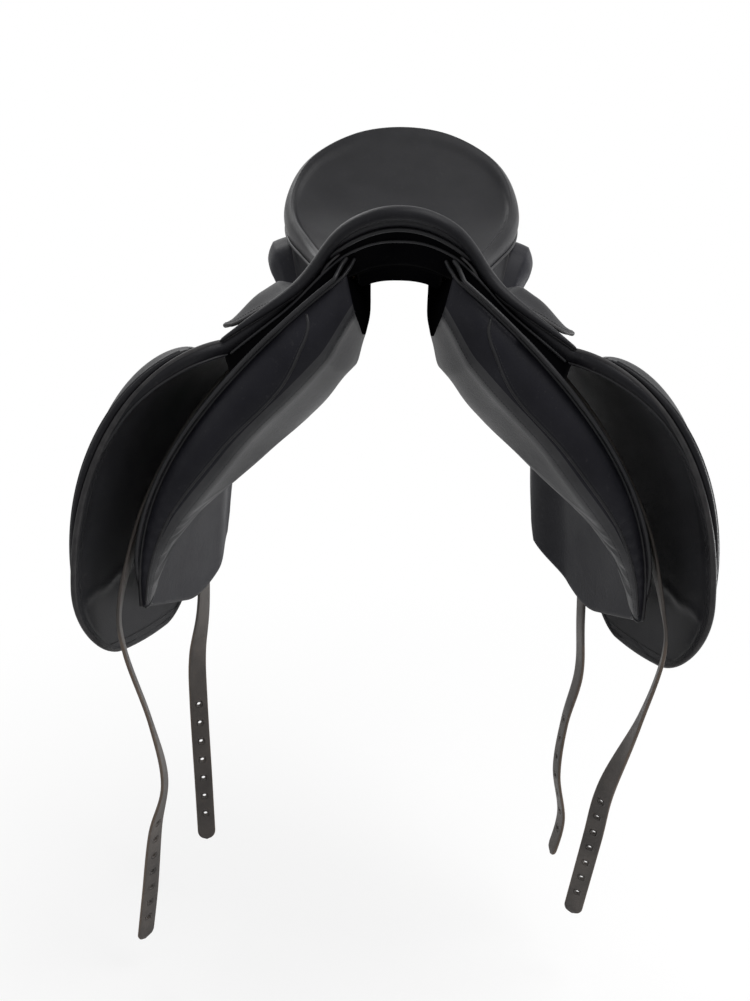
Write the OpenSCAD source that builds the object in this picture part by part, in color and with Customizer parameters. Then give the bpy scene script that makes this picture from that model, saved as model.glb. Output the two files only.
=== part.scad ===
// Dressage saddle as it sits on a rack: front of the saddle towards -Y, +Z up.
// Lengths are in millimetres. The shapes are worked out from the top of the pommel,
// then moved so that the origin lies on the roof of the channel under the lowest seat point.

/* [Seat] */
// Length of the seat from the pommel to the back of the cantle
seat_len = 462; // [430:1:490]
// Width of the seat at the cantle
cantle_w = 302; // [280:1:325]
// Width of the seat at the waist
waist_w = 150; // [130:1:165]
// Width of the seat beside the pommel
pommel_w = 150; // [138:1:158]
// Radius of the pommel arch
pommel_r = 78; // [72:1:95]
// Depth of the lowest seat point below the pommel
seat_dip = 48; // [35:1:60]
// Height of the cantle above the pommel
cantle_rise = 117; // [100:1:130]
// Height of the rolled edge round the seat
roll_h = 26; // [20:1:34]

/* [Layers] */
// Seat leather
cover_t = 2.5; // [2:0.1:3.5]
// Seat foam
foam_t = 14; // [10:0.5:20]
// Webbing over the tree
web_t = 2; // [1.5:0.1:3]
// Laminated tree
tree_t = 12; // [9:0.5:15]
// Steel head plate
plate_t = 4; // [3:0.1:5]
// Flap leather
flap_t = 4.5; // [3.5:0.1:5.5]
// Sweat flap leather
sweat_t = 4; // [3:0.1:5]
// Skirt leather
skirt_t = 4; // [3:0.1:5]
// Thin leather of linings, pockets and keepers
lining_t = 2; // [1.5:0.1:2.5]

/* [Sides] */
// Distance of the flap's bend line from the middle
bend_x = 172; // [165:1:180]
// Depth of the bend line below the pommel, at the front
bend_z = 124; // [118:1:130]
// Slope of the saddle's side above the bend line, in degrees
side_slope = 33; // [31:0.5:35]
// Fall of the bend line towards the rear, in degrees
bend_fall = 6; // [4:0.5:8]

/* [Flaps] */
// Depth of the flap below the bend line, at its front
flap_drop = 344; // [320:1:370]
// How far the flap's bottom stands out beyond the bend line, at its front
flap_reach = 158; // [144:1:168]
// The same at the rear of the flap
flap_reach_rear = 84; // [76:1:94]
// Length of the flap from front to rear
flap_len = 265; // [240:1:285]
// Thickness of the thigh block
block_t = 26; // [20:1:32]
// Length of the thigh block down the flap, as a share of the flap
block_share = 0.72; // [0.55:0.01:0.78]

/* [Sweat flaps] */
// Depth of the sweat flap's front corner below the pommel
sweat_drop = 412; // [390:1:430]
// Half the spread of the sweat flaps at the bottom of their front edges
sweat_reach = 276; // [265:1:285]
// The same at the rear
sweat_reach_rear = 203; // [190:1:210]

/* [Panels] */
// Width of the channel between the panels
channel_w = 84; // [70:1:96]
// Thickness of the panels
panel_t = 66; // [54:1:72]

/* [Billets] */
// Width of a billet
billet_w = 24; // [20:0.5:28]
// Thickness of a billet
billet_t = 4; // [3:0.1:5]
// Diameter of a buckle hole
hole_d = 5; // [4:0.1:6]
// Distance between buckle holes
hole_pitch = 28; // [24:1:30]
// Number of buckle holes in a billet
hole_count = 7; // [4:1:8]

/* [Stirrup bars] */
// Length of the bar that carries the stirrup leather
bar_len = 92; // [80:1:105]
// Height of the bar
bar_h = 14; // [11:0.5:17]
// Thickness of the bar
bar_t = 6; // [5:0.5:7]
// Room for the stirrup leather behind the bar
bar_gap = 8; // [6:0.5:10]
// Diameter of the catch's hinge pin
pin_d = 4; // [3:0.1:5]

/* [Fits] */
// Clearance between neighbouring pieces
gap = 0.3; // [0.2:0.05:0.5]
// Running clearance of the hinge pins, on the radius
pin_play = 0.06; // [0.03:0.01:0.1]

/* [Hidden] */
$fn = 32;

// Layers of the seat, counted down from its surface
foam_z = cover_t + gap;
web_z = foam_z + foam_t + gap;
tree_z = web_z + web_t + gap;
stack = tree_z + tree_t;
// The lowest seat point, and the roof of the channel under it
low_y = 0.46 * seat_len;
rest_h = seat_dip + stack + gap;

black = [0.09, 0.09, 0.1];
dark = [0.14, 0.13, 0.13];
wood = [0.72, 0.56, 0.38];
steel = [0.6, 0.61, 0.63];
foam_c = [0.85, 0.82, 0.72];
web_c = [0.8, 0.78, 0.72];
strap_c = [0.17, 0.14, 0.12];

function lerp(a, b, t) = a + (b - a) * t;
function clamp(t) = max(0, min(1, t));
function smooth(t) = let (c = clamp(t)) c * c * (3 - 2 * c);
function unit(v) = v / norm(v);
function bez(p, t) =
  pow(1 - t, 3) * p[0] + 3 * pow(1 - t, 2) * t * p[1] + 3 * (1 - t) * t * t * p[2] + pow(t, 3) * p[3];
// Smooth curve through all points of a list, t from 0 to 1
function curve(p, t) = let (
    n = len(p) - 1,
    f = min(n - 0.000001, max(0, t * n)),
    i = floor(f),
    u = f - i,
    a = p[max(0, i - 1)],
    b = p[i],
    c = p[min(n, i + 1)],
    d = p[min(n, i + 2)])
  0.5 * (2 * b + (c - a) * u + (2 * a - 5 * b + 4 * c - d) * u * u + (3 * b - a - 3 * c + d) * u * u * u);

// Normal of a grid of points, and a copy of the grid moved along it
function grid_n(g, i, j) = let (
    m = len(g) - 1,
    n = len(g[0]) - 1,
    du = g[min(m, i + 1)][j] - g[max(0, i - 1)][j],
    dv = g[i][min(n, j + 1)] - g[i][max(0, j - 1)])
  unit(cross(du, dv));
function shift(g, d) =
  [for (i = [0:len(g) - 1]) [for (j = [0:len(g[0]) - 1]) g[i][j] + d * grid_n(g, i, j)]];

// Closed solid between an outer grid a and an inner grid b of the same size
module slab(a, b) {
  m = len(a);
  n = len(a[0]);
  o = m * n;
  rim = concat([for (j = [0:n - 1]) j], [for (i = [1:m - 1]) i * n + n - 1],
    [for (j = [n - 2:-1:0]) (m - 1) * n + j], [for (i = [m - 2:-1:1]) i * n]);
  k = len(rim);
  polyhedron(
    points = concat([for (r = a) each r], [for (r = b) each r]),
    faces = concat(
      [for (i = [0:m - 2]) for (j = [0:n - 2]) [i * n + j, i * n + j + 1, (i + 1) * n + j + 1]],
      [for (i = [0:m - 2]) for (j = [0:n - 2]) [i * n + j, (i + 1) * n + j + 1, (i + 1) * n + j]],
      [for (i = [0:m - 2]) for (j = [0:n - 2])
        [o + i * n + j, o + (i + 1) * n + j + 1, o + i * n + j + 1]],
      [for (i = [0:m - 2]) for (j = [0:n - 2])
        [o + i * n + j, o + (i + 1) * n + j, o + (i + 1) * n + j + 1]],
      [for (q = [0:k - 1]) [rim[q], o + rim[q], o + rim[(q + 1) % k]]],
      [for (q = [0:k - 1]) [rim[q], o + rim[(q + 1) % k], rim[(q + 1) % k]]]));
}

// Closed solid from rings that go round: the rings follow each other round the section
module ring_body(r) {
  m = len(r);
  n = len(r[0]);
  polyhedron(
    points = [for (a = r) each a],
    faces = concat(
      [for (i = [0:m - 1]) for (j = [0:n - 1])
        [i * n + j, i * n + (j + 1) % n, ((i + 1) % m) * n + (j + 1) % n]],
      [for (i = [0:m - 1]) for (j = [0:n - 1])
        [i * n + j, ((i + 1) % m) * n + (j + 1) % n, ((i + 1) % m) * n + j]]));
}

// Closed solid between two sets of rings, both listed from the middle outwards
module layer(under, over) {
  n = len(under[0]);
  u = len(under);
  o = len(over);
  k = u * n;
  l = (u - 1) * n;
  h = k + (o - 1) * n;
  polyhedron(
    points = concat([for (r = under) each r], [for (r = over) each r]),
    faces = concat(
      [[for (j = [0:n - 1]) j], [for (j = [n - 1:-1:0]) k + j]],
      [for (i = [0:u - 2]) for (j = [0:n - 1]) [i * n + j, (i + 1) * n + (j + 1) % n, i * n + (j + 1) % n]],
      [for (i = [0:u - 2]) for (j = [0:n - 1]) [i * n + j, (i + 1) * n + j, (i + 1) * n + (j + 1) % n]],
      [for (i = [0:o - 2]) for (j = [0:n - 1])
        [k + i * n + j, k + i * n + (j + 1) % n, k + (i + 1) * n + (j + 1) % n]],
      [for (i = [0:o - 2]) for (j = [0:n - 1])
        [k + i * n + j, k + (i + 1) * n + (j + 1) % n, k + (i + 1) * n + j]],
      [for (j = [0:n - 1]) [l + j, h + (j + 1) % n, l + (j + 1) % n]],
      [for (j = [0:n - 1]) [l + j, h + j, h + (j + 1) % n]]));
}
// The same with an opening in the middle
module hoop(under, over) {
  n = len(under[0]);
  m = len(under);
  k = m * n;
  l = (m - 1) * n;
  polyhedron(
    points = concat([for (r = under) each r], [for (r = over) each r]),
    faces = concat(
      [for (i = [0:m - 2]) for (j = [0:n - 1]) [i * n + j, (i + 1) * n + (j + 1) % n, i * n + (j + 1) % n]],
      [for (i = [0:m - 2]) for (j = [0:n - 1]) [i * n + j, (i + 1) * n + j, (i + 1) * n + (j + 1) % n]],
      [for (i = [0:m - 2]) for (j = [0:n - 1])
        [k + i * n + j, k + i * n + (j + 1) % n, k + (i + 1) * n + (j + 1) % n]],
      [for (i = [0:m - 2]) for (j = [0:n - 1])
        [k + i * n + j, k + (i + 1) * n + (j + 1) % n, k + (i + 1) * n + j]],
      [for (j = [0:n - 1]) [l + j, k + l + (j + 1) % n, l + (j + 1) % n]],
      [for (j = [0:n - 1]) [l + j, k + l + j, k + l + (j + 1) % n]],
      [for (j = [0:n - 1]) [j, (j + 1) % n, k + (j + 1) % n]],
      [for (j = [0:n - 1]) [j, k + (j + 1) % n, k + j]]));
}

module place() {
  translate([0, -low_y, rest_h]) children();
}
module both() {
  children();
  mirror([1, 0, 0]) children();
}

// Seat: height of its surface, and its outline from the pommel round to the cantle
function seat_mid(y) = let (t = y / seat_len)
  -seat_dip * smooth(t / 0.46) + (seat_dip + cantle_rise) * pow(clamp((t - 0.46) / 0.54), 2.1);
function seat_z(x, y) =
  seat_mid(y) - x * x / (2 * pommel_r) * (1 - smooth(y / seat_len / 0.62));
half_outline = [
  [0, 0],
  [pommel_w * 0.36, 3],
  [pommel_w * 0.5, 26],
  [waist_w * 0.5, seat_len * 0.3],
  [lerp(waist_w, cantle_w, 0.45) * 0.5, seat_len * 0.52],
  [cantle_w * 0.475, seat_len * 0.69],
  [cantle_w * 0.5, seat_len * 0.81],
  [cantle_w * 0.43, seat_len * 0.915],
  [cantle_w * 0.24, seat_len * 0.98],
  [0, seat_len]];
seat_n = 56;
// One mirrored point beyond each end lets the outline cross the middle squarely
outline_run = concat([[-half_outline[1][0], half_outline[1][1]]], half_outline,
  [[-half_outline[8][0], half_outline[8][1]]]);
function outline(j) = let (
    u = j / seat_n * 2,
    p = curve(outline_run, (1 + 9 * (u <= 1 ? u : 2 - u)) / 11))
  [u <= 1 ? p[0] : -p[0], p[1]];
seat_c = [0, low_y];
// Height of the rolled edge: low at the pommel and waist, full at the cantle
function roll_at(y) = roll_h * lerp(0.5, 1.15, smooth((y / seat_len - 0.45) / 0.4));
// Ring of points at a share q of the way from the middle to the outline, dropped by d
function seat_ring(q, d) = [for (j = [0:seat_n - 1]) let (
    e = outline(j),
    p = seat_c + q * (e - seat_c),
    c = seat_c + 0.93 * (e - seat_c),
    lift = 7 * pow(q / 0.93, 6) * smooth((e[1] / seat_len - 0.5) / 0.2))
  [p[0], p[1],
    q <= 0.93 ? seat_z(p[0], p[1]) + lift - d : seat_z(c[0], c[1]) + lift / pow(q / 0.93, 6) - d]];
// Ring on the rolled edge: share q, height given as a share of the roll
function roll_ring(q, h, inset) = [for (j = [0:seat_n - 1]) let (
    e = outline(j),
    w = unit(e - seat_c),
    p = seat_c + q * (e - seat_c) - inset * w,
    c = seat_c + 0.93 * (e - seat_c),
    lift = 7 * smooth((e[1] / seat_len - 0.5) / 0.2))
  [p[0], p[1], seat_z(c[0], c[1]) + lift - h * roll_at(e[1])]];

// Half width of the seat and height of its lower edge, at a distance y behind the pommel
edge_list = [for (j = [0:seat_n / 2]) outline(j)];
edge_drop = [for (q = roll_ring(0.975, 1, 0)) q[2]];
function edge_x(y) = lookup(y, [for (j = [0:seat_n / 2]) [edge_list[j][1], edge_list[j][0]]]);
function edge_z(y) = lookup(y, [for (j = [0:seat_n / 2]) [edge_list[j][1], edge_drop[j]]]);
welt_r = 2.2;
// Shares at which all layers of the seat have their rings, so that the layers stay parallel
shares = [0.03, 0.12, 0.3, 0.42, 0.55, 0.76, 0.86];
function seat_rings(d) = [for (q = shares) seat_ring(q, d)];
function reverse(v) = [for (i = [len(v) - 1:-1:0]) v[i]];
// Part of the rings: a sector of columns j0 to j1, from ring i0 outwards
function sector(d, i0, j0, j1) = [for (i = [i0:len(shares) - 1]) let (r = seat_ring(shares[i], d))
  [for (j = [j0:j1]) r[(j + seat_n) % seat_n]]];

module seat_cover() {
  color(black) layer(
    concat(seat_rings(cover_t),
      [roll_ring(0.945, 0.12, cover_t), roll_ring(0.985, 0.5, cover_t), roll_ring(0.975, 1, cover_t)]),
    concat(seat_rings(0),
      [seat_ring(0.915, 0), roll_ring(0.95, 0.02, 0), roll_ring(0.98, 0.14, 0), roll_ring(0.996, 0.45, 0),
        roll_ring(0.992, 0.75, 0), roll_ring(0.975, 1, 0)]));
}
module seat_foam() {
  color(foam_c) layer(seat_rings(foam_z + foam_t), seat_rings(foam_z));
}
// Frame of the seat: an open ring of laminated wood, drilled for the head rivets
module tree() {
  r = [for (q = shares) if (q > 0.4) q];
  color(wood) difference() {
    hoop([for (q = r) seat_ring(q, stack)], [for (q = r) seat_ring(q, tree_z)]);
    head_holes(rivet_d / 2 + gap / 2);
  }
}
// Web along the seat, from the head of the tree over the middle to the cantle
module seat_web() {
  a = web_z;
  b = web_z + web_t;
  color(web_c) {
    layer([for (i = [0:2]) seat_ring(shares[i], b)], [for (i = [0:2]) seat_ring(shares[i], a)]);
    for (j = [0, seat_n / 2]) slab(sector(a, 1, j - 2, j + 2), sector(b, 1, j - 2, j + 2));
  }
}
// Piping under the rolled edge
module seat_welt() {
  r = welt_r;
  k = 6;
  color(black) ring_body([for (i = [0:k - 1]) [for (j = [0:seat_n - 1]) let (
      e = outline(j),
      w = unit(e - seat_c),
      c = seat_c + 0.93 * (e - seat_c),
      p = seat_c + 0.975 * (e - seat_c) + w * r * cos(-360 * i / k),
      lift = 7 * smooth((e[1] / seat_len - 0.5) / 0.2))
    [p[0], p[1], seat_z(c[0], c[1]) + lift - roll_at(e[1]) - gap - r + r * sin(-360 * i / k)]]]);
}

// Sides: frame of the sloping side, which falls towards the rear with the bend line
c_s = cos(side_slope);
s_s = sin(side_slope);
module side() {
  translate([0, 0, -bend_z]) rotate([-bend_fall, 0, 0]) children();
}
// Plane of the side: first axis along the bend line, second up the slope, third outwards
module side_plane() {
  side() multmatrix([[0, -c_s, s_s, bend_x], [1, 0, 0, 0], [0, s_s, c_s, 0], [0, 0, 0, 1]]) children();
}
function from_side(p) = [p[0], p[1] * cos(bend_fall) + p[2] * sin(bend_fall),
  -bend_z - p[1] * sin(bend_fall) + p[2] * cos(bend_fall)];
function side_pt(a, up, out) = from_side([bend_x - up * c_s + out * s_s, a, up * s_s + out * c_s]);

// Head plate: an arch of flat steel whose legs run down under the tops of the flaps
rivet_d = 6;
plate_y = [36, 66];
leg_out = -flap_t - gap - plate_t;
// Apex of the legs' lower faces, the top of the arch under the tree, and the arch radius between
plate_apex = (bend_x + leg_out * s_s) / c_s * s_s + leg_out * c_s;
plate_top = seat_mid(plate_y[1]) - stack - 8 * gap + bend_z + plate_y[0] * sin(bend_fall) - plate_t;
arch_r = max(30, (plate_apex - plate_top) / (1 / c_s - 1));
leg_end = 34;
module arch_profile(t, foot) {
  // Half the arch and one leg, lower face on the arch radius
  z = plate_apex - arch_r / c_s;
  p = [for (a = [0:4:side_slope]) [arch_r * sin(a), z + arch_r * cos(a)]];
  q = [for (a = [0:4:side_slope]) [(arch_r + t) * sin(a), z + (arch_r + t) * cos(a)]];
  f0 = [bend_x - foot * c_s + leg_out * s_s, foot * s_s + leg_out * c_s];
  f1 = f0 + t * [s_s, c_s];
  polygon(concat(p, [f0, f1], reverse(q)));
}
module arch_band(t, foot, y0, y1) {
  side() both() translate([0, y1, 0]) rotate([90, 0, 0]) linear_extrude(y1 - y0) arch_profile(t, foot);
}
function rivet_at(k) = [k * arch_r * sin(18), (plate_y[0] + plate_y[1]) / 2];
module head_holes(r) {
  side() for (k = [-1, 1]) translate([rivet_at(k)[0], rivet_at(k)[1], 0])
    cylinder(h = plate_apex + 80, r = r);
}
module head_plate() {
  color(steel) difference() {
    arch_band(plate_t, leg_end, plate_y[0], plate_y[1]);
    head_holes(rivet_d / 2 + gap / 2);
    both() side_plane() bar_rivet_holes(rivet_d / 2 + gap / 2);
  }
}
module head_rivets() {
  color(steel) side() for (k = [-1, 1]) {
    z = plate_apex - arch_r / c_s + arch_r * cos(18);
    translate([rivet_at(k)[0], rivet_at(k)[1], z + 1.2]) cylinder(h = plate_t + tree_t * 0.8, d = rivet_d);
  }
}
// Leather under the head and a facing that closes its front
lining_y = [14, plate_y[1] + 14];
lining_face = 22;
module pommel_lining() {
  color(black) {
    side() both() translate([0, lining_y[1], 0]) rotate([90, 0, 0])
      linear_extrude(lining_y[1] - lining_y[0]) lining_profile(lining_t);
    side() both() translate([0, lining_y[0] + lining_t, 0]) rotate([90, 0, 0])
      linear_extrude(lining_t) lining_profile(lining_face);
  }
}
module lining_profile(t) {
  r = arch_r - gap - lining_t;
  z = plate_apex - arch_r / c_s;
  p = [for (k = [0:8]) let (a = k / 8 * (side_slope - 6)) [r * sin(a), z + r * cos(a)]];
  q = [for (k = [0:8]) let (a = k / 8 * (side_slope - 6)) [(r + t) * sin(a), z + (r + t) * cos(a)]];
  polygon(concat(p, reverse(q)));
}

// Tops of the flaps, tops of the skirts and the studs that hold them
// The flap top reaches up to the seat's waist, short of it by an inset; its last strip carries the sewn skirt
top_inset = 6.5;
top_len = (bend_x - waist_w / 2 - top_inset) / c_s;
skirt_sewn = 14;
top_y = [-2, 232];
skirt_hinge = top_len - skirt_sewn;
skirt_y = [12, 164];
module flap_top() {
  color(black) side_plane() difference() {
    translate([0, 0, -flap_t]) linear_extrude(flap_t) polygon([[top_y[0], gap], [top_y[1], gap],
      [top_y[1] - 10, top_len * 0.6], [top_y[1] - 44, top_len * 0.84], [top_y[1] - 100, top_len],
      [top_y[0] + 22, top_len], [top_y[0] + 4, top_len * 0.6]]);
    bar_rivet_holes(rivet_d / 2 + gap / 2);
    stud_at() translate([0, 0, -flap_t - 1]) cylinder(h = flap_t + 2, d = 3 + gap);
  }
}
module skirt_top() {
  color(black) side_plane() difference() {
    translate([skirt_y[0], skirt_hinge + gap, gap])
      cube([skirt_y[1] - skirt_y[0], top_len - skirt_hinge - 2, skirt_t]);
    stud_at() cylinder(h = 40, d = 3 + gap, center = true);
  }
}
module stud_at() {
  translate([skirt_y[0] + 14, (skirt_hinge + top_len) / 2, 0]) children();
}
module skirt_studs() {
  color(steel) both() side_plane() stud_at() {
    translate([0, 0, -flap_t + 0.5]) cylinder(h = flap_t + skirt_t + 2, d = 3);
    translate([0, 0, 2 * gap + skirt_t]) intersection() {
      translate([0, 0, -8]) sphere(r = 10);
      cylinder(h = 4, d = 12);
    }
  }
}

// Stirrup bars: base on the flap top, a bar that stands off it, lugs for the catch at its rear
base_t = 3;
bar_drop = 31;
bar_up = skirt_hinge - bar_drop;
bar_y = 68;
bar_end = bar_y + bar_len;
bar_z = gap + base_t + bar_gap;
lug_t = 3;
lug_r = 3.6;
pin_y = bar_end + 10;
pin_z = gap + base_t + lug_r + 2 * gap;
catch_w = bar_h - 2 * lug_t - 2 * gap;
module bar_rivet_holes(r) {
  for (a = [44, 58]) translate([a, bar_up, -30]) cylinder(h = 60, r = r);
}
module stirrup_bar() {
  color(steel) side_plane() difference() {
    union() {
      translate([38, bar_up - bar_h / 2, gap]) cube([pin_y + 6 - 38, bar_h, base_t]);
      translate([bar_y, bar_up - bar_h / 2, gap]) cube([10, bar_h, base_t + bar_gap + bar_t]);
      translate([bar_y, bar_up - bar_h / 2 + bar_t / 2, bar_z + bar_t / 2]) rotate([0, 90, 0])
        cylinder(h = bar_len, d = bar_t);
      translate([bar_y, bar_up + bar_h / 2 - bar_t / 2, bar_z + bar_t / 2]) rotate([0, 90, 0])
        cylinder(h = bar_len, d = bar_t);
      translate([bar_y, bar_up - bar_h / 2 + bar_t / 2, bar_z]) cube([bar_len, bar_h - bar_t, bar_t]);
      for (k = [-1, 1]) translate([0, bar_up + k * (bar_h - lug_t) / 2, 0]) {
        translate([pin_y, lug_t / 2, pin_z]) rotate([90, 0, 0]) cylinder(h = lug_t, r = lug_r);
        translate([pin_y - lug_r, -lug_t / 2, gap]) cube([2 * lug_r, lug_t, pin_z - gap]);
      }
    }
    bar_rivet_holes(rivet_d / 2 + gap / 2);
    translate([pin_y, bar_up + bar_h, pin_z]) rotate([90, 0, 0]) cylinder(h = 2 * bar_h, d = pin_d);
  }
}
module bar_rivets() {
  color(steel) side_plane() for (a = [44, 58]) translate([a, bar_up, 0]) {
    translate([0, 0, leg_out + 0.5]) cylinder(h = base_t + 2 * gap - leg_out, d = rivet_d);
    translate([0, 0, base_t + 2 * gap]) cylinder(h = 2, d = rivet_d + 4);
  }
}
module catch_pin() {
  color(steel) side_plane() translate([pin_y, bar_up + bar_h / 2 + 1, pin_z]) rotate([90, 0, 0])
    cylinder(h = bar_h + 2, d = pin_d);
}
module bar_catch() {
  color(steel) side_plane() difference() {
    translate([pin_y, bar_up, pin_z]) {
      translate([0, catch_w / 2, 0]) rotate([90, 0, 0]) cylinder(h = catch_w, r = lug_r);
      translate([-lug_r, -catch_w / 2, 0]) cube([3, catch_w, bar_z + bar_t - pin_z]);
    }
    translate([pin_y, bar_up + bar_h, pin_z]) rotate([90, 0, 0])
      cylinder(h = 2 * bar_h, r = pin_d / 2 + pin_play);
  }
}

// Skirts: tongues that rise over the stirrup bar and end in a rounded tip
skirt_rise = bar_z + bar_t + 2;
skirt_len = 96;
skirt_droop = 8;
function skirt_grid() = [for (i = [0:14]) let (
    u = i / 14,
    up = skirt_hinge - skirt_len * u,
    e = sqrt(1 - pow(clamp((u - 0.62) / 0.38), 2.4)),
    y0 = lerp(skirt_y[0], 30, smooth(u / 0.8)),
    y1 = lerp(skirt_y[1], 150, smooth(u / 0.8)),
    c = lerp(y0, y1, 0.42),
    out = gap + skirt_t + skirt_rise * smooth(u / 0.25) - skirt_droop * smooth((u - 0.45) / 0.5))
  [for (j = [0:8]) let (t = j / 8) side_pt(c + (lerp(y0, y1, t) - c) * max(0.12, e), up, out)]];
module skirt() {
  g = skirt_grid();
  color(black) slab(g, shift(g, -skirt_t));
}

// Drape: curves that run from the channel down the inside of the sweat flaps
mid_y = 275;
rear_drop = 90;
rear_y = seat_len - 22;
drape_front = [[channel_w / 2 + 10, -58], [bend_x - 7, -bend_z - 26], [sweat_reach - 14, -255],
  [sweat_reach, -sweat_drop]];
drape_mid = [[channel_w / 2, -rest_h - 14], [bend_x - 2, -bend_z - 12], [sweat_reach_rear + 2, -250],
  [sweat_reach_rear, -sweat_drop - rear_drop]];
drape_rear = [[channel_w / 2, -38], [channel_w / 2 + 40, -36], [cantle_w * 0.43, -40],
  [cantle_w * 0.55, -54]];
function drape(s, y) = let (
    k = y < mid_y ? lerp(drape_front, drape_mid, y / mid_y)
      : lerp(drape_mid, drape_rear, smooth((y - mid_y) / (rear_y - mid_y))),
    p = bez(k, s))
  [p[0], y, p[1]];
function drape_n(s, y) =
  unit(cross(drape(s + 0.01, y) - drape(s - 0.01, y), drape(s, y + 2) - drape(s, y - 2)));
function drape_front_y(s) = -22 * sin(180 * pow(clamp(s), 0.85)) + 12 * pow(s, 4);

// Rounding of a lower corner that starts at the share a of the drop
function round_off(s, a) = 1 - sqrt(1 - 0.999 * pow(clamp((s - a) / (1 - a)), 2));

// Sweat flaps: places of the rear edge at the top and at its widest, and how far the two corners are rounded
sweat_y = [205, 290];
sweat_round = [34, 78];
// How far their rear lobes swing out below the panels: left, right
sweat_swing = [15, -20];
function sweat_grid(swing) = [for (i = [0:14]) [for (j = [0:11]) let (
    t = j / 11,
    s = lerp(0.2, 1 - 0.12 * pow(clamp((t - 0.5) / 0.5), 2), i / 14),
    y0 = drape_front_y(s) + sweat_round[0] * round_off(s, 0.82),
    y1 = lerp(sweat_y[0], sweat_y[1], smooth(s / 0.7)) - sweat_round[1] * round_off(s, 0.62),
    y = lerp(y0, y1, t))
  drape(s, y) + [swing * smooth((s - 0.45) / 0.35) * smooth((y - sweat_y[0]) / 70), 0, 0]]];
module sweat_flap(side) {
  g = sweat_grid(sweat_swing[side]);
  color(black) slab(shift(g, gap + sweat_t), shift(g, gap));
}

// Panels: stuffed cushions on the inside of the drape, long at the front and broad at the rear
panel_top = -38;
panel_rows = [for (i = [0:15]) 0.5 - 0.5 * cos(180 * i / 15)];
panel_cols = [for (i = [0:24]) 0.5 - 0.5 * cos(180 * i / 24)];
function panel_s(a, t) = a * lerp(1, 0.32, smooth(t / 0.3));
function panel_y(a, t) = let (s = panel_s(a, t)) lerp(drape_front_y(s) + 6, rear_y, t);
// Share of the rear form, where the panel lies under the seat's edge instead of under the sweat flap
rear_from = 246;
function panel_rear(y) = smooth((y - rear_from) / 80);
function panel_base(a, t) = let (
    s = panel_s(a, t),
    y = panel_y(a, t),
    z0 = min(panel_top, seat_z(channel_w / 2, y) - stack - 6),
    z1 = min(panel_top, edge_z(y) - 2 * welt_r - 2 * gap - 2))
  lerp(drape(s, y) - 2 * gap * drape_n(s, y),
    [lerp(channel_w / 2, edge_x(y) * 1.04 + 8, a), y, lerp(z0, z1, smooth(a))],
    panel_rear(y));
// Depth of the cushion: full in the middle, drawn in along its edges, thin at the front tip
function panel_depth(a, t) = let (
    s = panel_s(a, t),
    r = panel_rear(panel_y(a, t)),
    edge = (0.7 + 0.3 * sin(90 * clamp(a / 0.14)))
      * (1 - lerp(0.7, 0.45, r) * (1 - pow(sin(90 * clamp((1 - a) / 0.32)), 0.65))),
    ends = lerp(0.85, 1.26, smooth(t / 0.2)) * lerp(1, 0.8, smooth((t - 0.35) / 0.3))
      * (0.42 + 0.58 * pow(sin(90 * clamp((1 - t) / 0.12)), 0.65)),
    tip = lerp(1, 0.38, smooth((s - 0.5) / 0.5)) * lerp(1, 0.9, smooth((s - 0.25) / 0.3)))
  panel_t * edge * ends * lerp(tip, 1, smooth((t - 0.1) / 0.25));
// Way the stuffing is measured: nearly upright beside the channel, square to the drape farther down
function panel_way(a, t) = let (
    s = panel_s(a, t),
    y = panel_y(a, t),
    n = drape_n(s, y))
  unit(lerp(unit([n[0] * lerp(0.3, 1, smooth(s / 0.36)), n[1], n[2]]), [0, 0, 1], panel_rear(y)));
module panel() {
  top = [for (a = panel_rows) [for (t = panel_cols) panel_base(a, t)]];
  low = [for (a = panel_rows) [for (t = panel_cols)
    panel_base(a, t) - panel_depth(a, t) * panel_way(a, t)]];
  color(black) slab(top, low);
}
module point_pocket() {
  color(black) side_plane() {
    translate([plate_y[0] - 4, leg_end - gap - lining_t, leg_out - gap - lining_t])
      cube([plate_y[1] - plate_y[0] + 8, 24, lining_t]);
    translate([plate_y[0] - 4, leg_end - gap - lining_t, leg_out - gap - lining_t])
      cube([plate_y[1] - plate_y[0] + 8, lining_t, gap + lining_t + plate_t]);
  }
}

// Flaps, in the frame of the sides: flared at the front, hanging at the rear
flap_front = [[bend_x + 0.8, -0.3], [bend_x + 0.55 * flap_reach, -0.05 * flap_drop],
  [bend_x + 1.08 * flap_reach, -0.44 * flap_drop], [bend_x + flap_reach, -flap_drop]];
flap_rear = [[bend_x + 1.1, -1.5], [bend_x + 0.3 * flap_reach_rear, -0.1 * flap_drop],
  [bend_x + 0.82 * flap_reach_rear, -0.45 * flap_drop], [bend_x + flap_reach_rear, -flap_drop]];
function flap_pt(s, t) = let (
    p = bez(lerp(flap_front, flap_rear, t), s * (1 + 0.025 * sin(180 * t))),
    y0 = top_y[0] - 36 * sin(180 * pow(s, 0.85)) + 20 * pow(s, 3) + 78 * round_off(s, 0.84),
    y1 = top_y[0] + flap_len * (0.88 + 0.22 * smooth(s / 0.8)) - 96 * round_off(s, 0.7))
  from_side([p[0], lerp(y0, y1, t), p[1]]);
flap_rows = 16;
flap_cols = 12;
function flap_grid() =
  [for (i = [0:flap_rows]) [for (j = [0:flap_cols]) flap_pt(i / flap_rows, j / flap_cols)]];
module flap() {
  g = flap_grid();
  color(black) slab(g, shift(g, -flap_t));
}
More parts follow.
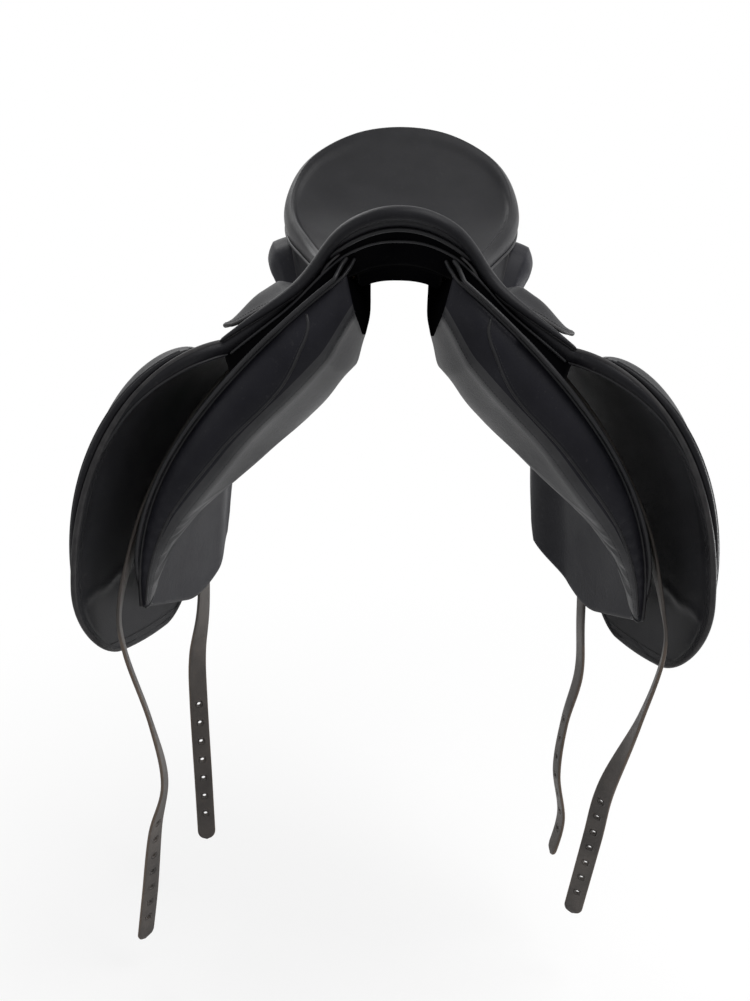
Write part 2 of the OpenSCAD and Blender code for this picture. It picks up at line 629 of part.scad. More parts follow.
// Thigh block on the front of the flap, thickest a third of the way down, with a low front wall
block_i = [2, round(2 + block_share * flap_rows)];
module thigh_block() {
  g = flap_grid();
  j1 = 4;
  n = block_i[1] - block_i[0];
  top = [for (i = [0:n]) [for (j = [0:j1]) let (
      u = i / n,
      swell = pow(sin(180 * pow(u, 0.75)), 0.8) * (0.2 + 0.8 * pow(sin(180 * j / j1), 1.5)),
      h = gap + 3 + (block_t - 3) * swell)
    g[block_i[0] + i][j] + h * grid_n(g, block_i[0] + i, j)]];
  low = [for (i = [0:n]) [for (j = [0:j1]) g[block_i[0] + i][j] + gap * grid_n(g, block_i[0] + i, j)]];
  color(black) slab(top, low);
}

// Webs that carry the billets: over the tree, then down under the flap tops
strap_out = -flap_t - 2 * gap - billet_t / 2;
web_out = strap_out - billet_t / 2 - 2 * gap;
strap_up = bar_up + 5;
strap_y = [98, 168];
module girth_web() {
  j0 = 8;
  j1 = 11;
  lane = [for (j = [j0:j1])
    lerp(strap_y[0] - billet_w * 0.6, strap_y[1] + billet_w * 0.6, (j - j0) / (j1 - j0))];
  edge_a = seat_ring(0.885, web_z);
  edge_b = seat_ring(0.885, web_z + web_t);
  a = concat(sector(web_z, 4, j0, j1), [[for (j = [j0:j1]) edge_a[j]]],
    [for (up = [top_len - 5, strap_up - 6]) [for (y = lane) side_pt(y, up, web_out)]]);
  b = concat(sector(web_z + web_t, 4, j0, j1), [[for (j = [j0:j1]) edge_b[j] - [1, 0, 0]]],
    [for (up = [top_len - 5, strap_up - 6]) [for (y = lane) side_pt(y, up, web_out - web_t)]]);
  color(web_c) slab(a, b);
}

// Billets: straps that leave the flap tops, pass outside the sweat flaps and hang free
function on_drape(s, y, c) = drape(s, y) + (gap + sweat_t + billet_t / 2 + c) * drape_n(s, y);
function strap_head(y) = [side_pt(y, strap_up + 14, strap_out), side_pt(y, strap_up, strap_out),
  side_pt(y, strap_up - 20, strap_out - 1.5)];
front_lie = [on_drape(0.35, 74, 5), on_drape(0.5, 54, 8), on_drape(0.65, 36, 9), on_drape(0.8, 20, 9)];
rear_lie = [on_drape(0.35, 172, 4), on_drape(0.5, 178, 7), on_drape(0.65, 184, 9), on_drape(0.8, 190, 10)];
// Free ends of the four billets, from the bottom of the sweat flap: x, y, z and the turn of the strap
hang_fl = [[14, 5, 5, 5], [14, 10, -55, 15], [-6, 25, -150, 15], [-14, 45, -240, 0], [4, 60, -320, -25],
  [20, 80, -425, -40], [34, 95, -510, -40]];
hang_fr = [[10, 5, 20, 5], [20, 10, -40, 15], [10, 40, -140, 10], [-10, 80, -255, -40],
  [-15, 105, -345, -65], [-25, 135, -480, -70]];
hang_rl = [[36, 195, 15, -25], [47, 200, -60, -50], [49, 205, -130, -65], [46, 205, -255, -75],
  [44, 205, -345, -80]];
hang_rr = [[38, 195, 10, -10], [43, 200, -70, -10], [31, 205, -145, -5], [26, 205, -220, -10],
  [37, 205, -290, -10], [27, 205, -350, -10]];
corner_f = [sweat_reach, 0, -sweat_drop];
corner_r = [sweat_reach_rear, 0, -sweat_drop - rear_drop];
head_turn = -asin(c_s * sin(bend_fall));
function hang_route(y, lie, hang, corner) =
  concat(strap_head(y), lie, [for (h = hang) corner + [h[0], h[1], h[2]]]);
function hang_twist(hang) =
  concat([head_turn, head_turn, head_turn, -8, -10, -12, -12], [for (h = hang) h[3]]);
strap_n = 40;
strap_at = concat([for (k = [0:strap_n - 3]) k / strap_n], [0.945, 0.96, 0.972, 0.982, 0.99, 0.996, 1]);
// Stations of a strap: place, width direction, outward direction and distance to the tip
function strap(route, twist) = let (
    p = [for (u = strap_at) curve(route, u)],
    n = len(p) - 1,
    run = [for (i = n, d = 0; i >= 0; d = d + (i > 0 ? norm(p[i] - p[i - 1]) : 0), i = i - 1) d])
  [for (i = [0:n]) let (
      t = unit(p[min(n, i + 1)] - p[max(0, i - 1)]),
      y = unit([0, 1, 0] - t[1] * t),
      x = cross(t, y),
      a = curve(twist, strap_at[i]),
      w = cos(a) * y + sin(a) * x)
    [p[i], w, cross(t, w), run[n - i]]];
tip_r = 14;
module billet(route, twist) {
  q = strap(route, twist);
  edge = [for (k = q) billet_w / 2 * (k[3] < tip_r ? max(0.3, sqrt(1 - pow(1 - k[3] / tip_r, 2))) : 1)];
  function side_at(i, c, d) = q[i][0] + c * edge[i] * q[i][1] + d * billet_t / 2 * q[i][2];
  a = [for (i = [0:len(q) - 1]) [for (c = [-1, 1]) side_at(i, c, 1)]];
  b = [for (i = [0:len(q) - 1]) [for (c = [-1, 1]) side_at(i, c, -1)]];
  color(strap_c) difference() {
    slab(a, b);
    for (k = [0:hole_count - 1]) hole_in(q, 42 + k * hole_pitch);
  }
}
module front_billet(hang) {
  billet(hang_route(strap_y[0], front_lie, hang, corner_f), hang_twist(hang));
}
module rear_billet(hang) {
  billet(hang_route(strap_y[1], rear_lie, hang, corner_r), hang_twist(hang));
}
module hole_in(q, d) {
  i = [for (i = [0:len(q) - 2]) if (q[i][3] >= d && q[i + 1][3] < d) i][0];
  f = (q[i][3] - d) / (q[i][3] - q[i + 1][3]);
  p = lerp(q[i][0], q[i + 1][0], f);
  w = unit(lerp(q[i][1], q[i + 1][1], f));
  n = unit(cross(q[i + 1][0] - q[i][0], w));
  v = cross(n, w);
  multmatrix([[w[0], v[0], n[0], p[0]], [w[1], v[1], n[1], p[1]], [w[2], v[2], n[2], p[2]], [0, 0, 0, 1]])
    cylinder(h = 4 * billet_t, d = hole_d, center = true);
}

// Side leathers between the piping of the seat and the tops of the flaps
side_y = [16, top_y[1] - 10];
module side_leather() {
  n = 16;
  a = [for (h = [0, 0.5, 1]) [for (k = [0:n]) let (
      y = lerp(side_y[0], side_y[1], k / n),
      top = [edge_x(y) * 0.965, y, edge_z(y) - 2 * welt_r - 3 * gap],
      foot = side_pt(y, min(top_len + 3, (bend_x - top[0] - 4) / c_s), 2 * gap))
    lerp(top, foot, h) + 4 * h * (1 - h) * [1, 0, 0.6]]];
  color(black) slab(a, shift(a, -lining_t));
}

// Facing that closes the back of the cantle, from the piping down to the panels
module cantle_facing() {
  j0 = seat_n / 2 - 7;
  j1 = seat_n / 2 + 7;
  function row(h, inset) = [for (j = [j0:j1]) let (
      e = outline(j),
      w = unit(e - seat_c),
      c = seat_c + 0.93 * (e - seat_c),
      p = seat_c + lerp(0.97, 0.95, h) * (e - seat_c) - inset * w,
      lift = 7 * smooth((e[1] / seat_len - 0.5) / 0.2),
      z0 = seat_z(c[0], c[1]) + lift - roll_at(e[1]) - 2 * gap - (1 + sin(60)) * welt_r,
      z1 = min(panel_top + 2 * gap, z0 - 2))
    [p[0], p[1], lerp(z0, z1, h)]];
  color(black) slab([for (i = [0:5]) row(i / 5, 0)], [for (i = [0:5]) row(i / 5, cover_t)]);
}

place() seat_cover();
place() seat_foam();
place() seat_welt();
place() tree();
place() head_plate();
place() head_rivets();
place() seat_web();
place() mirror([1, 0, 0]) girth_web();  // girth_web_left
place() girth_web();  // girth_web_right
place() pommel_lining();
place() cantle_facing();
place() mirror([1, 0, 0]) side_leather();  // side_leather_left
place() side_leather();  // side_leather_right
place() mirror([1, 0, 0]) panel();  // panel_left
place() panel();  // panel_right
place() mirror([1, 0, 0]) sweat_flap(0);  // sweat_flap_left
place() sweat_flap(1);  // sweat_flap_right
place() mirror([1, 0, 0]) point_pocket();  // point_pocket_left
place() point_pocket();  // point_pocket_right
place() mirror([1, 0, 0]) flap_top();  // flap_top_left
place() flap_top();  // flap_top_right
place() mirror([1, 0, 0]) skirt_top();  // skirt_top_left
place() skirt_top();  // skirt_top_right
place() skirt_studs();
place() mirror([1, 0, 0]) stirrup_bar();  // stirrup_bar_left
place() stirrup_bar();  // stirrup_bar_right
place() mirror([1, 0, 0]) bar_rivets();  // bar_rivets_left
place() bar_rivets();  // bar_rivets_right
place() mirror([1, 0, 0]) catch_pin();  // catch_pin_left
place() catch_pin();  // catch_pin_right
place() mirror([1, 0, 0]) bar_catch();  // bar_catch_left
place() bar_catch();  // bar_catch_right
place() mirror([1, 0, 0]) flap();  // flap_left
place() flap();  // flap_right
place() mirror([1, 0, 0]) thigh_block();  // thigh_block_left
place() thigh_block();  // thigh_block_right
place() mirror([1, 0, 0]) skirt();  // skirt_left
place() skirt();  // skirt_right
place() mirror([1, 0, 0]) front_billet(hang_fl);  // billet_front_left
place() front_billet(hang_fr);  // billet_front_right
place() mirror([1, 0, 0]) rear_billet(hang_rl);  // billet_rear_left
place() rear_billet(hang_rr);  // billet_rear_right
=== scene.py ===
import math

import bpy
import numpy as np
from mathutils import Matrix, Vector


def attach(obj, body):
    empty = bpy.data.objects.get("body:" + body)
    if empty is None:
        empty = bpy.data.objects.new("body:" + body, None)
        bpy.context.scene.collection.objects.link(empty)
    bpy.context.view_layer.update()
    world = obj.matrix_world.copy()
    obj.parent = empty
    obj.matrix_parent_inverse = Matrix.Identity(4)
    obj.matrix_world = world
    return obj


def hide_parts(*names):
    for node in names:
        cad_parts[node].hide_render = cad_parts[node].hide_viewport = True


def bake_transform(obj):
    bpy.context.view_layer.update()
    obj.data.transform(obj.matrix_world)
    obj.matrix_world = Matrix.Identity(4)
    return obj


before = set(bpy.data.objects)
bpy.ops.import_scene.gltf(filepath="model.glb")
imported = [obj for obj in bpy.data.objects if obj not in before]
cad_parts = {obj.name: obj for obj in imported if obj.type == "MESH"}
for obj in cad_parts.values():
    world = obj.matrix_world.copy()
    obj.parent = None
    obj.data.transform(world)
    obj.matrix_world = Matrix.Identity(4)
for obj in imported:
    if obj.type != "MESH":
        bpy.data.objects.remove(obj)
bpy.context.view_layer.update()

# Sizes of the saddle in millimetres, as in the part's source. Shapes are worked out from the top of the pommel:
# x to the right seen from the front, y rearwards, z up.
SEAT_LEN, CANTLE_W, WAIST_W, POMMEL_W, POMMEL_R = 462.0, 302.0, 150.0, 150.0, 78.0
SEAT_DIP, CANTLE_RISE, ROLL_H, LOW_SHARE = 48.0, 117.0, 26.0, 0.46
COVER_T, FOAM_T, WEB_T, TREE_T, PLATE_T = 2.5, 14.0, 2.0, 12.0, 4.0
FLAP_T, SWEAT_T, SKIRT_T, LINING_T, CHANNEL_LINING_T, BAND_T = 4.5, 4.0, 4.0, 2.0, 1.2, 2.0
BEND_X, BEND_Z, SIDE_SLOPE, BEND_FALL = 172.0, 124.0, math.radians(33), math.radians(6)
FLAP_DROP, FLAP_REACH, FLAP_REACH_REAR, FLAP_LEN = 344.0, 158.0, 84.0, 265.0
BLOCK_T, BLOCK_EDGE_T = 26.0, 3.0
SWEAT_DROP, SWEAT_REACH, SWEAT_REACH_REAR, REAR_DROP = 412.0, 276.0, 203.0, 90.0
CHANNEL_W, PANEL_T, PANEL_TOP = 84.0, 66.0, -38.0
BILLET_W, BILLET_T, HOLE_D, HOLE_PITCH, HOLE_COUNT, FIRST_HOLE = 24.0, 4.0, 5.0, 28.0, 7, 42.0
GAP, WELT_R = 0.3, 2.2
BAR_GAP, BAR_T, BASE_T = 8.0, 6.0, 3.0
STACK = COVER_T + GAP + FOAM_T + GAP + WEB_T + GAP + TREE_T
LOW_Y = LOW_SHARE * SEAT_LEN
REST_H = SEAT_DIP + STACK + GAP
COS_S, SIN_S = math.cos(SIDE_SLOPE), math.sin(SIDE_SLOPE)
COS_F, SIN_F = math.cos(BEND_FALL), math.sin(BEND_FALL)
TOP_LEN = (BEND_X - WAIST_W / 2 - 6.5) / COS_S
TOP_Y = (-2.0, 232.0)
SKIRT_HINGE, SKIRT_LEN, SKIRT_Y = TOP_LEN - 14.0, 96.0, (12.0, 164.0)
STRAP_UP, STRAP_Y = SKIRT_HINGE - 26.0, (98.0, 168.0)
MID_Y, REAR_Y = 275.0, SEAT_LEN - 22.0
SIDES = {"left": -1, "right": 1}
UP, AHEAD = np.array([0, 0, 1.0]), np.array([0, -1.0, 0])


# Small mathematics on whole arrays

def clip01(t):
    """Values held between 0 and 1."""
    return np.clip(t, 0, 1)


def smooth(t):
    """Smooth step: 0 below 0, 1 above 1, and 3t2 - 2t3 between."""
    t = clip01(t)
    return t * t * (3 - 2 * t)


def mix(a, b, t):
    """Straight mix of a and b by the share t."""
    return a + (b - a) * t


def unit(v):
    """Vectors brought to length 1."""
    return v / np.maximum(np.linalg.norm(v, axis=-1, keepdims=True), 1e-9)


def grids(*values):
    """Numbers and arrays as float arrays of one common shape."""
    return np.broadcast_arrays(*[np.asarray(v, float) for v in values])


def bezier(p, t):
    """Cubic Bezier curve of the four arrays in p, at t."""
    return (1 - t) ** 3 * p[0] + 3 * (1 - t) ** 2 * t * p[1] + 3 * (1 - t) * t * t * p[2] + t ** 3 * p[3]


def spline(points, t, closed=False):
    """Smooth curve through all points: Catmull-Rom, with t from 0 to 1 over equal spans. A closed one returns from the
    last point to the first."""
    p, t = np.asarray(points, float), np.asarray(t, float)
    n = len(p) if closed else len(p) - 1
    f = t % 1.0 * n if closed else np.clip(t * n, 0, n - 1e-6)
    i = f.astype(int)
    u = (f - i)[..., None]
    a, b, c, d = [p[(i + k) % n] if closed else p[np.clip(i + k, 0, n)] for k in (-1, 0, 1, 2)]
    return 0.5 * (2 * b + (c - a) * u + (2 * a - 5 * b + 4 * c - d) * u ** 2 + (3 * b - a - 3 * c + d) * u ** 3)


def steps(g, axis=0):
    """Distances between neighbouring points along one axis."""
    return np.linalg.norm(np.diff(g, axis=axis), axis=-1)


def run_length(path):
    """Distance along a path of points, from its start."""
    return np.concatenate([[0], np.cumsum(steps(path))])


def sample(at, d, points):
    """Points along a path, at the places at, where d are the places of the points given."""
    return np.stack([np.interp(at, d, points[:, k]) for k in range(points.shape[1])], -1)


def grid_normals(g):
    """Normals of a grid of points: the cross product of its two directions."""
    return unit(np.cross(np.gradient(g, axis=0), np.gradient(g, axis=1)))


def edge_distance(g):
    """Distance of each grid point from the nearest of the grid's four edges, measured along the grid."""
    u = np.concatenate([np.zeros((1, g.shape[1])), np.cumsum(steps(g), 0)])
    v = np.concatenate([np.zeros((g.shape[0], 1)), np.cumsum(steps(g, 1), 1)], 1)
    return np.minimum(np.minimum(u, u[-1:] - u), np.minimum(v, v[:, -1:] - v))


def placed(p, side=1):
    """Points in millimetres from the pommel, brought into the part's frame in metres; side -1 mirrors them."""
    return (np.asarray(p, float) * [side, 1, 1] + [0, -LOW_Y, REST_H]) * 0.001


# Building meshes from arrays

def quads_of(m, n, loop=False):
    """Index quads of a grid with m rows and n columns; with loop, the last column joins the first."""
    idx = np.arange(m * n).reshape(m, n)
    right = np.roll(idx, -1, 1) if loop else idx[:, 1:]
    left = idx if loop else idx[:, :-1]
    return np.stack([left[:-1], left[1:], right[1:], right[:-1]], -1).reshape(-1, 4)


def strip(a, b):
    """Quads between two closed loops of indices of the same length."""
    return np.stack([a, np.roll(a, -1), np.roll(b, -1), b], 1)


def capped(m, n):
    """Quads of m rings of n points each, with both end rings closed pair by pair across them."""
    k = np.arange(n // 2 - 1)
    cap = np.stack([k, k + 1, n - 2 - k, n - 1 - k], 1)
    return np.concatenate([quads_of(m, n, True), cap, cap[:, ::-1] + (m - 1) * n])


def rim_loop(m, n):
    """Indices round the edge of a grid with m rows and n columns."""
    idx = np.arange(m * n).reshape(m, n)
    return np.concatenate([idx[0], idx[1:, -1], idx[-1, -2::-1], idx[-2:0:-1, 0]])


def make_piece(name, verts, quads, material, body="saddle", side=1, replaces=(), rub=None,
               more=None):
    """Mesh object from millimetre points and index quads; body is one body's name. Blend facts (a, b, start, end) given
    as body are not used, and such a piece joins no body.
    rub is 1 on worn edges; more is a list of further materials and the number of its material for each face."""
    mesh = bpy.data.meshes.new(name)
    points = placed(verts, side).reshape(-1, 3)
    quads = np.asarray(quads)[:, ::-1] if side < 0 else np.asarray(quads)
    mesh.vertices.add(len(points))
    mesh.vertices.foreach_set("co", points.astype(np.float32).ravel())
    mesh.loops.add(quads.size)
    mesh.loops.foreach_set("vertex_index", quads.astype(np.int32).ravel())
    mesh.polygons.add(len(quads))
    mesh.polygons.foreach_set("loop_start", (np.arange(len(quads)) * 4).astype(np.int32))
    mesh.polygons.foreach_set("use_smooth", np.ones(len(quads), bool))
    mesh.update(calc_edges=True)
    if rub is not None:
        mesh.attributes.new("rub", "FLOAT", "POINT").data.foreach_set("value", np.asarray(rub, np.float32).ravel())
    obj = bpy.data.objects.new(name, mesh)
    bpy.context.scene.collection.objects.link(obj)
    mesh.materials.append(material)
    if more is not None:
        for extra in more[0]:
            mesh.materials.append(extra)
        mesh.polygons.foreach_set("material_index", np.asarray(more[1], np.int32))
    if isinstance(body, str):
        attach(obj, body)
    else:
        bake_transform(obj)
    if replaces:
        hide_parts(*replaces)
    return obj


def sheet_solid(g, thick, rim=6, outer_add=0.0, inner_add=0.0, reach=np.inf):
    """Closed solid of a leather sheet: the outer grid, a copy moved in by the thickness along the normals, and a
    half-round rim between them that stands out by reach at most. The additions raise either face. Returns points,
    quads and edge wear."""
    m, n = g.shape[:2]
    normal = grid_normals(g)
    outer = g + np.broadcast_to(outer_add, (m, n))[..., None] * normal
    inner = g - np.broadcast_to(thick + inner_add, (m, n))[..., None] * normal
    loop = rim_loop(m, n)
    top, low, out = [a.reshape(-1, 3)[loop] for a in (outer, inner, normal)]
    middle, half = (top + low) / 2, np.linalg.norm(top - low, axis=1, keepdims=True) / 2
    away = -unit(np.cross(unit(np.roll(middle, -1, 0) - np.roll(middle, 1, 0)), out))
    phi = (np.pi * np.arange(1, rim + 1) / (rim + 1))[:, None, None]
    rows = middle + half * np.cos(phi) * out + np.minimum(half, reach) * np.sin(phi) * away
    verts = np.concatenate([a.reshape(-1, 3) for a in (outer, inner, rows)])
    k = len(loop)
    rings = [loop] + [2 * m * n + r * k + np.arange(k) for r in range(rim)] + [loop + m * n]
    face = quads_of(m, n)
    quads = np.concatenate([face, face[:, ::-1] + m * n] + [strip(a, b) for a, b in zip(rings[:-1], rings[1:])])
    near = np.exp(-edge_distance(g) / 4.0).ravel()
    return verts, quads, np.concatenate([near, near, np.ones(rim * k)])


def tube(path, up, radius, sides=10, closed=False, wide=1.0):
    """Round cord along a path: circles across it, square to the path, with up as the start of each circle, or ovals
    where it is wide. The ends of an open cord close in small domes."""
    n = len(path)
    t = unit(np.roll(path, -1, 0) - np.roll(path, 1, 0) if closed else np.gradient(path, axis=0))
    side = unit(np.cross(up, t))
    up = np.cross(t, side)
    r = np.broadcast_to(np.asarray(radius, float), (n,)).copy()
    if not closed:
        d = run_length(path)
        edge = np.minimum(d, d[-1] - d) / max(float(r.max()), 1e-6)
        r *= np.sqrt(np.clip(1 - (1 - clip01(edge)) ** 2, 0.0016, 1))
    a = 2 * np.pi * np.arange(sides) / sides
    ring = np.cos(a)[None, :, None] * up[:, None] + wide * np.sin(a)[None, :, None] * side[:, None]
    verts = path[:, None] + r[:, None, None] * ring
    if not closed:
        return verts, capped(n, sides)
    first, last = np.arange(sides), (n - 1) * sides + np.arange(sides)
    return verts, np.concatenate([quads_of(n, sides, True), strip(last, first)[:, [0, 3, 2, 1]]])


def stitch_row(path, up, pitch=3.4, length=2.5, width=0.75, height=0.45, sunk=0.1):
    """Row of sewn stitches along a path: one small rounded bar per pitch, its length along the path and its crown
    standing out of the leather along up."""
    d = run_length(path)
    count = max(2, int(d[-1] / pitch))
    at = np.linspace(0, d[-1], count)
    p, u = sample(at, d, path), unit(sample(at, d, up))
    t = unit(np.gradient(p, axis=0))
    s = unit(np.cross(t, u))
    along, swell = np.array([-1, -0.55, 0.55, 1]), np.array([0.35, 1, 1, 0.35])[:, None]
    a = np.pi * np.arange(4) / 3
    bars = [np.repeat(along, 4) * length / 2, (swell * np.cos(a)).ravel() * width / 2,
            (swell * np.sin(a)).ravel() * height - sunk]
    verts = p[:, None] + sum(k[:, None] * way[:, None] for k, way in zip(bars, (t, s, u)))
    one = np.concatenate([quads_of(4, 4, loop=True), [[0, 1, 2, 3], [15, 14, 13, 12]]])
    return verts.reshape(-1, 3), (one[None] + 16 * np.arange(count)[:, None, None]).reshape(-1, 4)


def join(parts):
    """Several point and quad arrays as one."""
    verts, quads, start = [], [], 0
    for v, q in parts:
        verts.append(v.reshape(-1, 3))
        quads.append(q + start)
        start += len(verts[-1])
    return np.concatenate(verts), np.concatenate(quads)


# Seat

HALF_OUTLINE = [
    (0, 0), (POMMEL_W * 0.36, 3), (POMMEL_W * 0.5, 26), (WAIST_W * 0.5, SEAT_LEN * 0.3),
    (mix(WAIST_W, CANTLE_W, 0.45) * 0.5, SEAT_LEN * 0.52), (CANTLE_W * 0.475, SEAT_LEN * 0.69),
    (CANTLE_W * 0.5, SEAT_LEN * 0.81), (CANTLE_W * 0.43, SEAT_LEN * 0.915), (CANTLE_W * 0.24, SEAT_LEN * 0.98),
    (0, SEAT_LEN)]
SEAT_C = np.array([0, LOW_Y])
RIM_Q, FOOT_Q = 0.93, 0.975
LIP_H, RIDGE_H, RIDGE_Q, RIDGE_W = 7, 2.2, 0.9, 0.024
# Section of the rolled edge: share of the way to the outline, and share of the roll's height
ROLL = [(RIM_Q, 0.0), (0.95, 0.02), (0.98, 0.14), (0.996, 0.45), (0.992, 0.75), (FOOT_Q, 1.0)]
SEAT_N = 240


def seat_mid(y):
    """Height along the middle: a smooth fall from the pommel to the lowest point, then a rise to the cantle."""
    t = y / SEAT_LEN
    return -SEAT_DIP * smooth(t / LOW_SHARE) + (SEAT_DIP + CANTLE_RISE) * clip01((t - LOW_SHARE) / 0.54) ** 2.1


def seat_z(x, y):
    """Height of the seat: the middle line, with the sides rounded down over the pommel arch."""
    return seat_mid(y) - x * x / (2 * POMMEL_R) * (1 - smooth(y / SEAT_LEN / 0.62))


def outline(u):
    """Outline of the seat seen from above, u from 0 at the pommel once round; x is negative on the way back."""
    return spline(HALF_OUTLINE + [(-x, y) for x, y in HALF_OUTLINE[-2:0:-1]], u, closed=True)


def roll_at(y):
    """Height of the rolled edge: low at the pommel and waist, full at the cantle."""
    return ROLL_H * mix(0.5, 1.15, smooth((y / SEAT_LEN - 0.45) / 0.4))


def seat_surface(u, q, h):
    """Points of the seat: share q of the way from the middle to the outline, let down by the share h of the roll.
    Towards the cantle the surface lifts to a lip at its rim."""
    u, q, h = grids(u, q, h)
    e = outline(u)
    inside = np.minimum(q, RIM_Q)
    p, c = [SEAT_C + k[..., None] * (e - SEAT_C) for k in (q, inside)]
    lift = LIP_H * (inside / RIM_Q) ** 6 * smooth((e[..., 1] / SEAT_LEN - 0.5) / 0.2)
    z = seat_z(c[..., 0], c[..., 1]) + lift - h * roll_at(e[..., 1])
    return np.concatenate([p, z[..., None]], -1)


def edge_of_seat(y):
    """Half width of the seat and height of the rolled edge's foot, at distances y behind the pommel."""
    u = np.linspace(0, 0.5, 400)
    full, foot = outline(u), seat_surface(u, FOOT_Q, 1)
    return np.interp(y, full[:, 1], full[:, 0]), np.interp(y, full[:, 1], foot[:, 2])


# Sides

FLAP_FRONT = np.array([(BEND_X + 0.8, -0.3), (BEND_X + 0.55 * FLAP_REACH, -0.05 * FLAP_DROP),
                       (BEND_X + 1.08 * FLAP_REACH, -0.44 * FLAP_DROP), (BEND_X + FLAP_REACH, -FLAP_DROP)])
FLAP_REAR = np.array([(BEND_X + 1.1, -1.5), (BEND_X + 0.3 * FLAP_REACH_REAR, -0.1 * FLAP_DROP),
                      (BEND_X + 0.82 * FLAP_REACH_REAR, -0.45 * FLAP_DROP), (BEND_X + FLAP_REACH_REAR, -FLAP_DROP)])
# Lower corners: how far they are drawn in, and the share of the drop where the rounding starts
FLAP_CORNERS, SWEAT_CORNERS = ((78, 0.84), (96, 0.7)), ((34, 0.82), (84, 0.62))
FLAP_BOW, FLAP_TUCK = 36, 20


def from_side(p):
    """Points given along and across the bend line, turned by its fall and let down to its place."""
    return np.stack([p[..., 0], p[..., 1] * COS_F + p[..., 2] * SIN_F,
                     -BEND_Z - p[..., 1] * SIN_F + p[..., 2] * COS_F], -1)


def side_pt(a, up, out):
    """Point on the sloping side: a along the bend line, up the slope and out from it."""
    a, up, out = grids(a, up, out)
    return from_side(np.stack([BEND_X - up * COS_S + out * SIN_S, a, up * SIN_S + out * COS_S], -1))


def round_off(s, most, start):
    """Rounding of a lower corner: a quarter circle's fall by most, from the share start of the drop to its end."""
    return most * (1 - np.sqrt(1 - 0.999 * clip01((s - start) / (1 - start)) ** 2))


def flap_surface(s, t):
    """Outer face of a flap: Bezier curves down from the bend line, flared at the front (t 0) and hanging at the
    rear (t 1), s running down. The lower corners are rounded by drawing t in from both edges. Above the bend line
    (s below 0) the face is the flat sloping top."""
    s, t = grids(s, t)
    d = clip01(s)
    y0 = TOP_Y[0] - FLAP_BOW * np.sin(np.pi * d ** 0.85) + FLAP_TUCK * d ** 3
    y1 = TOP_Y[0] + FLAP_LEN * (0.88 + 0.22 * smooth(d / 0.8))
    front, rear = [round_off(d, *corner) for corner in FLAP_CORNERS]
    e = mix(front, y1 - y0 - rear, t) / (y1 - y0)
    curve = [mix(a, b, e[..., None]) for a, b in zip(FLAP_FRONT, FLAP_REAR)]
    p = bezier(curve, (d * (1 + 0.025 * np.sin(np.pi * e)))[..., None])
    low = from_side(np.stack([p[..., 0], mix(y0, y1, e), p[..., 1]], -1))
    u = clip01(-s)
    top = side_pt(mix(TOP_Y[0] + 22 * u ** 3, TOP_Y[1] - 100 * u ** 4.5, t), u * TOP_LEN, 0)
    return np.where((s < 0)[..., None], top, low)


def skirt_surface(u, t):
    """Outer face of a skirt: from under the seat's low piping down its sewn top (u below 0), then a tongue that rises
    over the stirrup bar, lies down along its front edge and narrows to a rounded tip at u 1; t runs from front to
    rear."""
    u, t = grids(u, t)
    v, d = clip01(-u), clip01(u)
    sewn = side_pt(mix(SKIRT_Y[0], SKIRT_Y[1], t), SKIRT_HINGE + 12 * clip01(v / 0.4), GAP + SKIRT_T)
    under_seat = mix(15, 156, t)
    ex, ez = edge_of_seat(under_seat)
    climb = clip01((v - 0.4) / 0.6)[..., None]
    sewn = (mix(sewn, np.stack([ex * FOOT_Q + 4.4, under_seat, ez - 3.0], -1), climb)
            + 2.5 * np.sin(np.pi * climb) * np.array([0.8, 0, 0.6]))
    rise = GAP + BASE_T + BAR_GAP + BAR_T + 2
    width = np.maximum(0.12, np.sqrt(clip01(1 - clip01((d - 0.62) / 0.38) ** 2.4)))
    y0, y1 = [mix(high, low, smooth(d / 0.8)) for high, low in zip(SKIRT_Y, (30, 150))]
    c = mix(y0, y1, 0.42)
    y = c + (mix(y0, y1, t) - c) * width
    over = mix(0.1, 1, smooth((y - 16) / 44)) * (rise * smooth(d / 0.25) - 8 * smooth((d - 0.45) / 0.5))
    tongue = side_pt(y, SKIRT_HINGE - SKIRT_LEN * d, GAP + SKIRT_T + over + 1.5 * smooth((d - 0.85) / 0.15))
    return np.where((u < 0)[..., None], sewn, tongue)


# Drape: curves from the channel down the inside of the sweat flaps

DRAPE_FRONT = np.array([(CHANNEL_W / 2 + 10, -58), (BEND_X - 7, -BEND_Z - 26), (SWEAT_REACH - 14, -255),
                        (SWEAT_REACH, -SWEAT_DROP)])
DRAPE_MID = np.array([(CHANNEL_W / 2, -REST_H - 14), (BEND_X - 2, -BEND_Z - 12), (SWEAT_REACH_REAR + 2, -250),
                      (SWEAT_REACH_REAR, -SWEAT_DROP - REAR_DROP)])
DRAPE_REAR = np.array([(CHANNEL_W / 2, -38), (CHANNEL_W / 2 + 40, -36), (CANTLE_W * 0.43, -40),
                       (CANTLE_W * 0.55, -54)])
SWEAT_TOP, SWEAT_REAR_Y = 0.2, (205, 290)
SWEAT_SWING = {"left": 15.0, "right": -20.0}


def drape(s, y):
    """Point of the drape: a Bezier curve across, mixed from a front, a middle and a rear curve by the place y."""
    s, y = grids(s, y)
    f = (y / MID_Y)[..., None]
    r = smooth((y - MID_Y) / (REAR_Y - MID_Y))[..., None]
    curve = [np.where((y < MID_Y)[..., None], mix(a, b, f), mix(b, c, r))
             for a, b, c in zip(DRAPE_FRONT, DRAPE_MID, DRAPE_REAR)]
    p = bezier(curve, s[..., None])
    return np.stack([p[..., 0], y, p[..., 1]], -1)


def drape_n(s, y):
    """Outward normal of the drape, from differences along both of its directions."""
    return unit(np.cross(drape(s + 0.01, y) - drape(s - 0.01, y), drape(s, y + 2) - drape(s, y - 2)))


